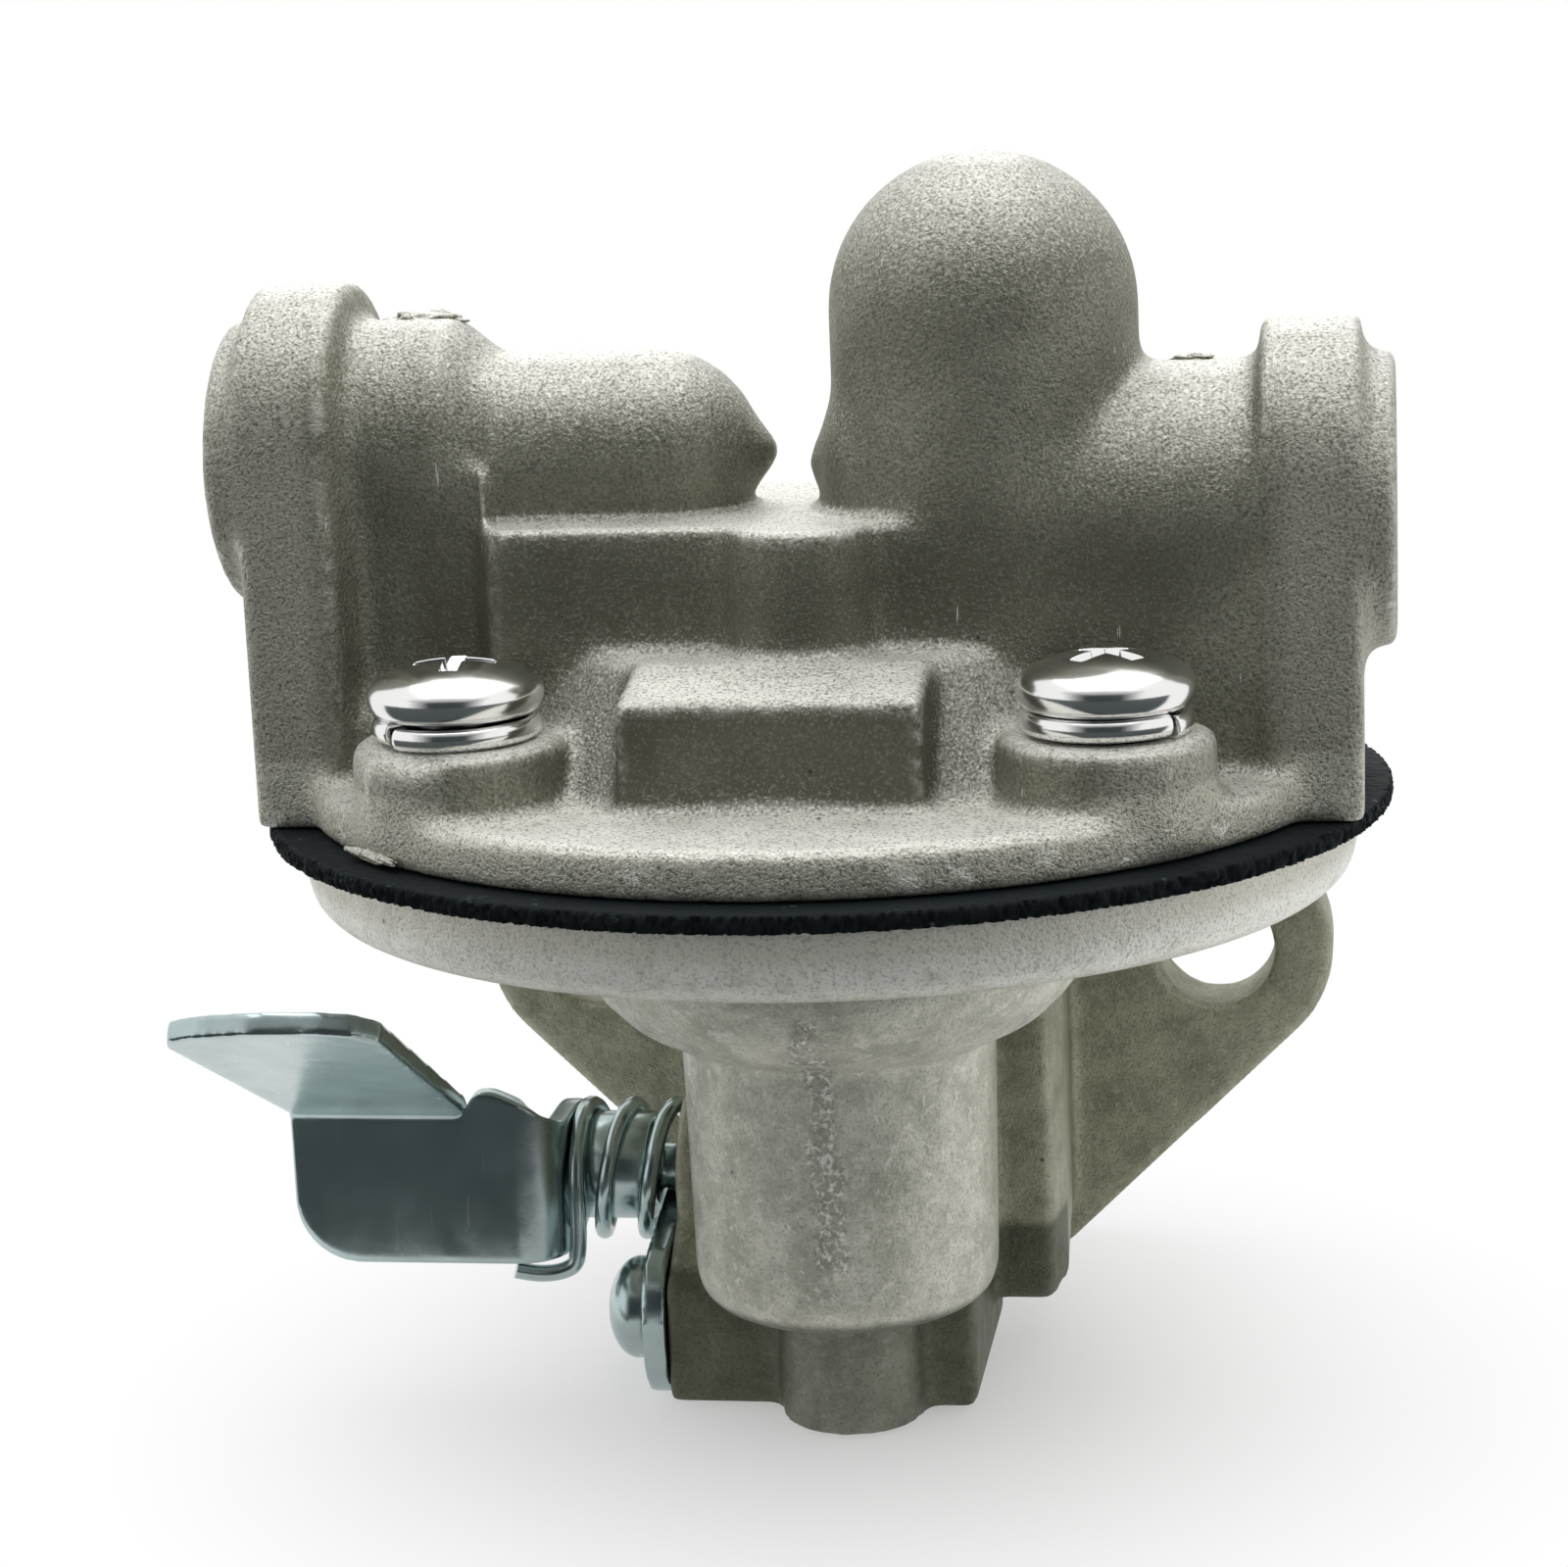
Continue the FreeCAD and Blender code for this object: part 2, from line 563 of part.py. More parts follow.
def flange(body):
    """Two-eared mounting flange with sloping lower edges."""
    ear = "{hole_spacing} / 2"
    line = "-{flange_drop}"
    touch_x = "{hole_spacing} / 2 + {ear_radius} * sin({taper_angle})"
    touch_z = "-{flange_drop} - {ear_radius} * cos({taper_angle})"
    foot_x = f"{touch_x} - ({touch_z} + {{flange_depth}}) / tan({{taper_angle}})"
    top = "{ear_radius} - {flange_drop}"
    corners = [
        (ear, top),
        (ear, line),
        (touch_x, touch_z),
        (foot_x, "-{flange_depth}"),
        (f"-({foot_x})", "-{flange_depth}"),
        (f"-({touch_x})", touch_z),
        (f"-{ear}", line),
        (f"-{ear}", top),
    ]
    pad(body, "XZ_Plane", corners, "{flange_thickness}", "-{flange_reach}")
    start = "{flange_reach} - {flange_thickness}"
    for side in ("-", ""):
        place_x = f"{side}{ear}"
        cylinder(body, "Additive", "{ear_radius}", "{flange_thickness}", place_x, start, line, ALONG_Y)
    for side in ("-", ""):
        place_x = f"{side}{ear}"
        cylinder(
            body, "Subtractive", "{hole_radius}", "{flange_thickness} + 2", place_x, f"{start} - 1", line, ALONG_Y
        )


def foot(body):
    """Square foot block with its sloping left shoulder, the round foot and the boss of the priming shaft."""
    slope = "({housing_front} - 0) * 0.7"
    left = "-{housing_half_width}"
    back = "{foot_block_back}"
    corners = [
        ("0", "-{foot_block_depth}"),
        (back, "-{foot_block_depth}"),
        (back, f"-{{barrel_depth}} + {slope}"),
        ("{housing_front}", f"-{{barrel_depth}} + {slope}"),
        ("0", "-{barrel_depth}"),
    ]
    pad(body, "YZ_Plane", corners, "{housing_half_width} + {foot_block_right}", left)
    boss_span = "{housing_half_width} + {foot_block_right} - {free_gap}"
    cylinder(
        body, "Additive", "{shaft_boss_radius}", boss_span, left, "{shaft_setback}", "-{shaft_drop}", ALONG_X
    )
    length = "{foot_depth} - {barrel_depth} + 2"
    cylinder(body, "Additive", "{foot_radius}", length, "{foot_offset}", "0", "-{foot_depth}")


def rocker_cavity(body):
    """Cavity behind the barrel, open through the flange, with the slot for the link and the spring's peg."""
    low = ("-{cavity_half_width}", "{cavity_front}", "-{cavity_floor}")
    high = ("{cavity_half_width}", "{flange_reach} + 1", "-{cavity_roof}")
    box(body, "Subtractive", low, high)
    low = ("-{slot_half_width}", "0", "-{slot_floor}")
    high = ("{slot_half_width}", "{cavity_front} + 1", "-{shaft_drop}")
    box(body, "Subtractive", low, high)
    peg_setback = "{pin_setback} + {return_setback}"
    cylinder(
        body, "Additive", "{return_coil_radius} - {return_wire_radius} - {free_gap}", "4",
        "0", peg_setback, "-{cavity_roof} - 3",
    )


def lower_bores(body):
    """Spring well, oil seal pocket, guide of the rod, hollow of the barrel and bores of the shafts."""
    rod_bore = "{rod_radius} + {running_gap}"
    straight = "{well_depth} - {well_chamfer}"
    cylinder(body, "Subtractive", "{well_radius}", straight, "0", "0", f"-({straight})")
    cylinder(body, "Subtractive", "{seal_radius}", "{seal_depth} + 1", "0", "0", "-{well_depth} - {seal_depth}")
    cylinder(body, "Subtractive", rod_bore, "{guide_depth}", "0", "0", "-{guide_depth} - 1")
    hollow = "{barrel_depth} - {wall} - {guide_depth}"
    cylinder(body, "Subtractive", "{barrel_bore_radius}", hollow, "0", "0", "{wall} - {barrel_depth}")
    foot_bore = "{foot_bore_depth} - {guide_depth}"
    cylinder(body, "Subtractive", "{rod_radius} + 0.5", foot_bore, "0", "0", "-{foot_bore_depth}")
    left = "-{housing_half_width} - 1"
    shaft_bore = "{shaft_radius} + {running_gap}"
    shaft_span = "{housing_half_width} + 1 + {shaft_end} + {free_gap}"
    cylinder(body, "Subtractive", shaft_bore, shaft_span, left, "{shaft_setback}", "-{shaft_drop}", ALONG_X)
    pin_span = "2 * {housing_half_width} - 0.8"
    cylinder(
        body, "Subtractive", "{pin_radius} + {fit_gap}", pin_span, left, "{pin_setback}", "-{pin_drop}", ALONG_X
    )
    end_y = "{shaft_setback} + {torsion_coil_radius} * cos(30)"
    end_z = "{torsion_coil_radius} * sin(30) - {shaft_drop} - 0.4"
    cylinder(body, "Subtractive", "{torsion_wire_radius} + {free_gap}", "3.3", left, end_y, end_z, ALONG_X)
    cylinder(
        body, "Subtractive", "{keeper_screw_radius} + {fit_gap}", "9.3", left,
        "{keeper_screw_setback}", "-{keeper_screw_drop}", ALONG_X,
    )


def lower_body():
    """Cast lower body: disc, bowl, barrel, foot, rocker housing and mounting flange."""
    body = piece("lower_body")
    outside = [("{chamber_radius}", "0"), ("{disc_edge_radius}", "0")]
    outside += rounding("{disc_edge_radius}", "-{disc_depth}", "{disc_depth} / 2")
    outside += [("{bowl_radius}", "-{disc_depth}")]
    outside += rounding("{bowl_radius}", "-{bowl_depth}", "{bowl_rounding}", 5)[:-1]
    outside += [("{barrel_radius}", "0.2 - {bowl_depth}")]
    outside += rounding("{barrel_radius} - {barrel_draft}", "-{barrel_depth}", "2.5")
    inside = [
        ("0", "-{barrel_depth}"),
        ("0", "-{well_depth}"),
        ("{well_radius} - {well_chamfer}", "-{well_depth}"),
        ("{well_radius}", "{well_chamfer} - {well_depth}"),
        ("{well_radius}", "-{dish_depth}"),
        ("{dish_floor_radius}", "-{dish_depth}"),
    ]
    turned(body, outside + inside)
    outline = [
        ("-{housing_half_width}", "{housing_front}"),
        ("{housing_half_width}", "{housing_front}"),
        ("{housing_half_width} + {housing_flare}", "{housing_front} + 5"),
        ("{housing_half_width} - {housing_flare}", "{flange_reach} - 1"),
        ("-{housing_half_width}", "{flange_reach} - 1"),
    ]
    pad(body, "XY_Plane", outline, "{housing_depth} - {disc_depth} + 1", "-{housing_depth}")
    low = ("2 - {barrel_radius}", "0", "2.5 - {barrel_depth}")
    high = ("{barrel_radius} - 2", "{housing_front} + 1", "1 - {bowl_depth}")
    box(body, "Additive", low, high)
    flange(body)
    foot(body)
    rocker_cavity(body)
    lower_bores(body)
    for x, y in screw_places():
        grip = "{screw_grip} + 1"
        cylinder(body, "Subtractive", "{screw_radius} + {fit_gap}", grip, x, y, "-{screw_grip}")


# Diaphragm and pull rod


def diaphragm():
    """Round rubber diaphragm with its screw holes and the rod's hole."""
    body = piece("diaphragm")
    cylinder(body, "Additive", "{diaphragm_radius}", "{diaphragm_thickness}", "0", "0", "0")
    cylinder(body, "Subtractive", "{rod_radius} + {running_gap}", "{diaphragm_thickness} + 2", "0", "0", "-1")
    for x, y in screw_places():
        cylinder(body, "Subtractive", "{screw_radius} + {free_gap}", "{diaphragm_thickness} + 2", x, y, "-1")


def diaphragm_plates():
    """Steel plates above and below the middle of the diaphragm, each with a turned edge."""
    bore = "{rod_radius} + {fit_gap}"
    plates = (
        ("diaphragm_upper_plate", "{upper_plate_radius}", COVER_LEVEL, UPRIGHT),
        ("diaphragm_lower_plate", "{lower_plate_radius}", CLAMP_LEVEL, DOWNWARD),
    )
    for label, radius, level, rotation in plates:
        body = piece(label, z=level, rotation=rotation)
        turned(
            body,
            [
                (bore, "0"),
                (f"{radius} - 1", "0"),
                (radius, "0.5"),
                (radius, "{plate_gauge} + 0.4"),
                (f"{radius} - 0.8", "{plate_gauge} + 0.4"),
                (f"{radius} - 1.3", "{plate_gauge}"),
                (bore, "{plate_gauge}"),
            ],
        )


def pull_rod():
    """Rod riveted through the diaphragm, with an eye for the link at its lower end."""
    body = piece("pull_rod")
    top = "{diaphragm_thickness} + {plate_gauge}"
    turned(
        body,
        [
            ("0", "-{rod_length}"),
            ("{rod_radius} - 0.6", "-{rod_length}"),
            ("{rod_radius}", "0.6 - {rod_length}"),
            ("{rod_radius}", "-{plate_gauge} - {rod_collar_height}"),
            ("{rod_collar_radius}", "-{plate_gauge} - {rod_collar_height}"),
            ("{rod_collar_radius}", "-{plate_gauge}"),
            ("{rod_radius}", "-{plate_gauge}"),
            ("{rod_radius}", top),
            ("{rod_collar_radius}", top),
            ("{rod_collar_radius} - 0.8", f"{top} + {{rod_collar_height}}"),
            ("0", f"{top} + {{rod_collar_height}}"),
        ],
    )
    low = ("-{rod_eye_half_width}", "-{rod_radius} - 1", "-{rod_eye_top} - {rod_eye_height}")
    high = ("{rod_eye_half_width}", "{rod_radius} + 1", "-{rod_eye_top}")
    box(body, "Subtractive", low, high)


def diaphragm_spring():
    """Coil spring below the diaphragm that pushes the fuel out."""
    seat = "{retainer_cup_gauge} + {main_wire_radius} + {fit_gap}"
    body = piece("diaphragm_spring", z=f"{WELL_FLOOR} + {seat}")
    height = f"{{well_depth}} - {{plate_gauge}} - {{main_wire_radius}} - {{fit_gap}} - ({seat})"
    coil(body, "{main_coil_radius}", "{main_wire_radius}", height, "3.5")


def rod_seal():
    """Rubber oil seal round the rod and the steel ring that keeps it in its pocket."""
    body = piece("rod_oil_seal", z=WELL_FLOOR)
    bore = "{rod_radius} + {running_gap}"
    turned(
        body,
        [
            (bore, "-{seal_depth} + 1.2"),
            ("{seal_radius} - {fit_gap}", "-{seal_depth}"),
            ("{seal_radius} - {fit_gap}", "0"),
            ("{rod_radius} + 1.6", "0"),
            (bore, "-1.2"),
        ],
    )
    body = piece("seal_retainer", z=WELL_FLOOR)
    lip = "{main_coil_radius} - {main_wire_radius} - {free_gap}"
    turned(
        body,
        [
            ("{rod_radius} + 1.6", "0"),
            ("{retainer_cup_radius}", "0"),
            ("{retainer_cup_radius}", "{retainer_cup_gauge}"),
            (lip, "{retainer_cup_gauge}"),
            (lip, "{retainer_cup_gauge} + 1.8"),
            (f"{lip} - {{retainer_cup_gauge}}", "{retainer_cup_gauge} + 1.8"),
            (f"{lip} - {{retainer_cup_gauge}}", "{retainer_cup_gauge}"),
            ("{rod_radius} + 1.6", "{retainer_cup_gauge}"),
        ],
    )


# Valves


def valve(name, x, level, rotation):
    """Seat ring, disc, spring and cage. The body axis points from the seat to the cage."""
    outer = "{pocket_radius} - {fit_gap}"
    ahead = "-{flange_reach} - {port_forward}"
    body = piece(f"{name}_valve_seat", x, ahead, level, rotation)
    turned(
        body,
        [
            ("{seat_bore_radius}", "0"),
            (outer, "0"),
            (outer, "{seat_thickness}"),
            ("{seat_bore_radius} + 1", "{seat_thickness}"),
            ("{seat_bore_radius} + 0.6", "{seat_thickness} + {seat_lip}"),
            ("{seat_bore_radius}", "{seat_thickness} + {seat_lip}"),
        ],
    )
    body = piece(f"{name}_valve_disc", x, ahead, level, rotation)
    seat = "{seat_thickness} + {seat_lip}"
    cylinder(body, "Additive", "{disc_radius}", "{disc_thickness}", "0", "0", seat)
    body = piece(f"{name}_valve_cage", x, ahead, level, rotation)
    inner = "{pocket_radius} - {fit_gap} - {cage_wall}"
    turned(
        body,
        [
            (inner, "{seat_thickness}"),
            (outer, "{seat_thickness}"),
            (outer, "{pocket_depth}"),
            ("0.8", "{pocket_depth}"),
            ("0.8", "{pocket_depth} - {cage_wall}"),
            (inner, "{pocket_depth} - {cage_wall}"),
        ],
    )
    hole = cylinder(
        body, "Subtractive", "1.1", "{cage_wall} + 2", f"({inner} + 1) * 0.6", "0", "{pocket_depth} - {cage_wall} - 1"
    )
    doc.recompute()
    pattern = body.newObject("PartDesign::PolarPattern", "Windows")
    pattern.Originals = [hole]
    axis = next(item for item in body.Origin.OriginFeatures if item.Role == "Z_Axis")
    pattern.Axis = (axis, [""])
    pattern.Angle = 360
    pattern.Occurrences = 5
    body.Tip = pattern
    start = f"{seat} + {{disc_thickness}} + {{valve_wire_radius}} + {{fit_gap}}"
    away = "-" if rotation is DOWNWARD else "+"
    spring_level = f"{level} {away} ({start})"
    body = piece(f"{name}_valve_spring", x, ahead, spring_level, rotation)
    height = f"{{pocket_depth}} - {{cage_wall}} - {{valve_wire_radius}} - {{fit_gap}} - ({start})"
    coil(body, "{valve_coil_radius}", "{valve_wire_radius}", height, "2.5", 4)


def valves():
    """The inlet valve opens down into the chamber, the outlet valve up into the dome."""
    top = f"{COVER_LEVEL} + {{chamber_height}} + {{pocket_depth}}"
    valve("inlet", "-{inlet_offset}", top, DOWNWARD)
    bottom = f"{COVER_LEVEL} + {{chamber_height}}"
    valve("outlet", "{dome_offset}", bottom, UPRIGHT)


# Cover screws


def cover_screws():
    """Four pan head screws, each with a split spring washer."""
    for number, (x, y) in enumerate(screw_places(), start=1):
        row_y = f"{y} - {{flange_reach}}"
        boss = f"{COVER_LEVEL} + {{screw_boss_height}}"
        washer = piece(f"spring_washer_{number}", x, row_y, boss)
        turned(
            washer,
            [
                ("{screw_radius} + {fit_gap}", "0"),
                ("{washer_radius}", "0"),
                ("{washer_radius}", "{washer_thickness}"),
                ("{screw_radius} + {fit_gap}", "{washer_thickness}"),
            ],
        )
        low = ("-{washer_split} / 2", "-{washer_radius} - 1", "-1")
        high = ("{washer_split} / 2", "0", "{washer_thickness} + 1")
        box(washer, "Subtractive", low, high)
        screw = piece(f"cover_screw_{number}", x, row_y, f"{boss} + {{washer_thickness}}")
        length = "{washer_thickness} + {screw_boss_height} + {diaphragm_thickness} + {screw_grip} - 0.5"
        shank = [
            ("0", f"-({length})"),
            ("{screw_radius} - 0.5", f"-({length})"),
            ("{screw_radius}", f"0.5 - ({length})"),
            ("{screw_radius}", "0"),
        ]
        turned(screw, shank + pan_head("{screw_head_radius}", "{screw_head_height}"))
        for long_x, long_y in (("2.6", "0.55"), ("0.55", "2.6")):
            low = (f"-{long_x}", f"-{long_y}", "{screw_head_height} - 1.6")
            box(screw, "Subtractive", low, (long_x, long_y, "{screw_head_height} + 1"))


# Rocker, link and pin


def rocker_arm():
    """Folded sheet rocker: two cheeks on the pin, a web on top, a bridge over the link and the cam pad."""
    body = piece("rocker_arm", y="{pin_setback} - {flange_reach}", z="{flange_drop} - {pin_drop}")
    tip = "{rocker_reach}"
    fall = "{rocker_fall}"
    bridge = "-{hub_radius} - 1.1"
    corners = [
        (bridge, "-3.2"),
        (bridge, "3"),
        ("-3.5", "{hub_radius} - 0.4"),
        ("{return_setback} + 5", "{hub_radius} - 0.4"),
        (f"{tip} - 9", f"5 - {fall}"),
        (tip, f"-{fall}"),
        (tip, f"-{fall} - 4"),
        (f"{tip} - 3", f"-{fall} - 5.5"),
        (f"{tip} - 9", f"-{fall} - 5"),
        (f"{tip} - 16", f"-{fall} - 2"),
        ("5", "-{hub_radius}"),
        ("-2", "-{hub_radius}"),
    ]
    pad(body, "YZ_Plane", corners, "2 * {rocker_half_width}", "-{rocker_half_width}")
    inner = "2 * ({rocker_half_width} - {rocker_gauge})"
    web = "{hub_radius} - 0.4 - {rocker_gauge}"
    inside = [
        ("-{hub_radius} + 0.9", "{hub_radius} + 2"),
        ("{hub_radius} - 1", "{hub_radius} + 2"),
        ("{hub_radius} - 1", web),
        ("{return_setback} + 5", web),
        (f"{tip} - 9", f"5 - {fall} - {{rocker_gauge}}"),
        (f"{tip} - 7", f"-{fall} - 7"),
        ("-{hub_radius} + 0.9", f"-{fall} - 7"),
    ]
    pocket(body, "YZ_Plane", inside, inner)
    low = (f"-({inner}) / 2", "-{hub_radius} - 3", "-{hub_radius}")
    high = (f"({inner}) / 2", "-{hub_radius} + 1", "1")
    box(body, "Subtractive", low, high)
    bore = "{pin_radius} + {running_gap}"
    cylinder(
        body, "Subtractive", bore, "2 * {rocker_half_width} + 2", "-{rocker_half_width} - 1", "0", "0", ALONG_X
    )


def link_lever():
    """Inner lever from the pin to the eye of the pull rod."""
    body = piece("link_lever", y="{pin_setback} - {flange_reach}", z="{flange_drop} - {pin_drop}")
    hub_width = "{rocker_half_width} - {rocker_gauge} - {free_gap}"
    cylinder(body, "Additive", "{hub_radius} - 1", f"2 * ({hub_width})", f"-({hub_width})", "0", "0", ALONG_X)
    top = "{pin_drop} - {shaft_drop} - {link_drop}"
    rod = "-{pin_setback} - {rod_radius} + 0.3"
    corners = [
        (rod, f"{top} - {{link_height}}"),
        (rod, top),
        ("-10.5", top),
        ("-8.2", "0.7"),
        ("-4.5", "0.7"),
        ("0", "3"),
        ("2", "-{hub_radius} + 1"),
        ("-9", f"{top} - {{link_height}}"),
    ]
    pad(body, "YZ_Plane", corners, "{link_gauge}", "-{link_gauge} / 2")
    bore = "{pin_radius} + {running_gap}"
    cylinder(body, "Subtractive", bore, f"2 * ({hub_width}) + 2", f"-({hub_width}) - 1", "0", "0", ALONG_X)


def rocker_pin():
    """Plain pin of the rocker, in from the left side and kept by the keeper plate."""
    body = piece("rocker_pin", y="{pin_setback} - {flange_reach}", z="{flange_drop} - {pin_drop}")
    length = "2 * {housing_half_width} - 2"
    cylinder(body, "Additive", "{pin_radius}", length, "-{housing_half_width} + 0.1", "0", "0", ALONG_X)


def rocker_return_spring():
    """Spring between the roof of the cavity and the rocker."""
    seat = "{hub_radius} - 0.4 + {return_wire_radius} + {fit_gap}"
    level = f"{{flange_drop}} - {{pin_drop}} + {seat}"
    body = piece("rocker_return_spring", y="{pin_setback} + {return_setback} - {flange_reach}", z=level)
    height = f"{{pin_drop}} - {{cavity_roof}} - ({seat}) - {{return_wire_radius}} - {{fit_gap}}"
    coil(body, "{return_coil_radius}", "{return_wire_radius}", height, "3.5")


# Priming shaft, lever and spring


def shaft_piece(label):
    """A body on the axis of the priming shaft."""
    return piece(label, y="{shaft_setback} - {flange_reach}", z="{flange_drop} - {shaft_drop}")


def priming_shaft():
    """Turned shaft with a riveted end, two grooves and the flat of its cam."""
    body = shaft_piece("priming_shaft")
    left = "-{lever_inner}"
    rivet = "-{lever_inner} - {lever_gauge}"
    cylinder(body, "Additive", "{shaft_radius}", "{lever_inner} + {shaft_end}", left, "0", "0", ALONG_X)
    neck = "{shaft_radius} - 0.8"
    cylinder(body, "Additive", neck, "{lever_gauge} + 1", rivet, "0", "0", ALONG_X)
    cylinder(body, "Additive", "{shaft_radius} - 0.1", "1", f"{rivet} - 1", "0", "0", ALONG_X)
    groove_start = "-{housing_half_width} - {keeper_gauge} - 0.15"
    groove(body, groove_start, "{keeper_gauge} + 0.3", "{keeper_groove_radius}")
    groove(body, "-{housing_half_width} + 1", "2 * {ring_wire_radius} + 0.6", "{shaft_radius} - 2 * {ring_wire_radius}")
    low = ("-{slot_half_width} + 0.4", "-{shaft_radius} - 1", "-{shaft_radius} - 1")
    high = ("{slot_half_width} - 0.4", "{shaft_radius} + 1", "-{shaft_flat}")
    box(body, "Subtractive", low, high)


def groove(body, start, width, core):
    """A square groove round the shaft."""
    drawing = sketch(body, "YZ_Plane", start)
    ring(drawing, "0", "0", "{shaft_radius} + 1")
    ring(drawing, "0", "0", core)
    feature = body.newObject("PartDesign::Pocket", "Groove")
    feature.Profile = drawing
    feature.Reversed = True
    bind(feature, "Length", width)


def shaft_o_ring():
    """O-ring in the shaft's inner groove, with a six-sided section."""
    start = "-{housing_half_width} + 1.3 + {ring_wire_radius}"
    level = "{flange_drop} - {shaft_drop}"
    body = piece("shaft_o_ring", start, "{shaft_setback} - {flange_reach}", level, ALONG_X)
    wire = "{ring_wire_radius}"
    middle = "{shaft_radius} - {ring_wire_radius}"
    angles = range(0, 360, 60)
    turned(body, [(f"{middle} + {wire} * cos({angle})", f"{wire} * sin({angle})") for angle in angles])


def priming_lever():
    """Folded sheet lever: an ear on the shaft, a plate in front and a thumb pad bent forward."""
    body = shaft_piece("priming_lever")
    front = "-{lever_forward}"
    inner_face = "{lever_gauge} - {lever_forward}"
    ear_end = "{lever_bottom}"
    left = "-{lever_outer}"
    right = "-{lever_inner}"
    ear_left = "-{lever_inner} - {lever_gauge}"
    drawing = sketch(body, "XY_Plane", "-{lever_bottom}")
    polygon(
        drawing,
        [
            (left, front),
            (right, front),
            (right, ear_end),
            (ear_left, ear_end),
            (ear_left, inner_face),
            (left, inner_face),
        ],
    )
    sheet_metal = body.newObject("PartDesign::Pad", "Folded")
    sheet_metal.Profile = drawing
    bind(sheet_metal, "Length", "{lever_bottom} + {lever_top}")
    across = FreeCAD.Vector(0, 0, 1)
    folded = rounded(
        body, sheet_metal, "{lever_bend_radius}",
        lambda edge: runs_along(edge, across) and is_upright_at(edge, right, front),
    )
    folded = rounded(
        body, folded, "{lever_bend_radius} - {lever_gauge}",
        lambda edge: runs_along(edge, across) and is_upright_at(edge, ear_left, inner_face),
    )
    folded = rounded(
        body, folded, "{lever_bottom} - 0.1",
        lambda edge: runs_along(edge, FreeCAD.Vector(1, 0, 0)) and near(edge.CenterOfMass.y, ear_end),
    )
    rounded(
        body, folded, "{lever_corner_radius}",
        lambda edge: runs_along(edge, FreeCAD.Vector(0, 1, 0))
        and near(edge.CenterOfMass.x, left)
        and near(edge.CenterOfMass.z, "-{lever_bottom}"),
    )
    thumb_pad(body)
    hole = "{shaft_radius} - 0.8 + {fit_gap}"
    cylinder(body, "Subtractive", hole, "{lever_gauge} + 2", f"{ear_left} - 1", "0", "0", ALONG_X)


def is_upright_at(edge, x, y):
    """Whether an upright edge stands at a place."""
    return near(edge.CenterOfMass.x, x) and near(edge.CenterOfMass.y, y)


def thumb_pad(body):
    """Thumb pad, drawn on a plane that slopes up and forward from the fold."""
    front = "-{lever_forward}"
    top = "{lever_top}"
    rise = "{lever_gauge} * (1 / cos({thumb_angle}) - tan({thumb_angle}))"
    corners = [
        (front, top),
        (f"{front} + {{lever_gauge}}", top),
        (f"{front} + {{lever_gauge}}", f"{top} + {rise}"),
        (f"{front} + {{lever_gauge}} * sin({{thumb_angle}})", f"{top} + {{lever_gauge}} * cos({{thumb_angle}})"),
    ]
    fold = pad(body, "YZ_Plane", corners, "{thumb_width}", "-{lever_outer}")
    rounded(
        body, fold, "1.5",
        lambda edge: runs_along(edge, FreeCAD.Vector(1, 0, 0)) and near(edge.CenterOfMass.z, f"{top} + {rise}"),
    )
    drawing = sketch(body, "XY_Plane")
    turn = FreeCAD.Rotation(FreeCAD.Vector(1, 0, 0), -value("{thumb_angle}"))
    drawing.AttachmentOffset = FreeCAD.Placement(FreeCAD.Vector(), turn)
    bind(drawing, "AttachmentOffset.Base.y", front)
    bind(drawing, "AttachmentOffset.Base.z", top)
    bind(drawing, "AttachmentOffset.Rotation.Angle", "-{thumb_angle}")
    left = "-{lever_outer}"
    polygon(
        drawing,
        [
            (f"{left} + {{thumb_width}}", "0"),
            (left, "0"),
            (f"{left} - 3.3", "4.2 - {thumb_length}"),
            (f"{left} - 2.7", "2.4 - {thumb_length}"),
            (f"{left} - 0.6", "1.2 - {thumb_length}"),
            (f"{left} + 3.6", "0.2 - {thumb_length}"),
            (f"{left} + 8.4", "-{thumb_length}"),
            (f"{left} + 10.8", "0.6 - {thumb_length}"),
            (f"{left} + 12.2", "2.4 - {thumb_length}"),
        ],
    )
    feature = body.newObject("PartDesign::Pad", "Thumb")
    feature.Profile = drawing
    bind(feature, "Length", "{lever_gauge}")


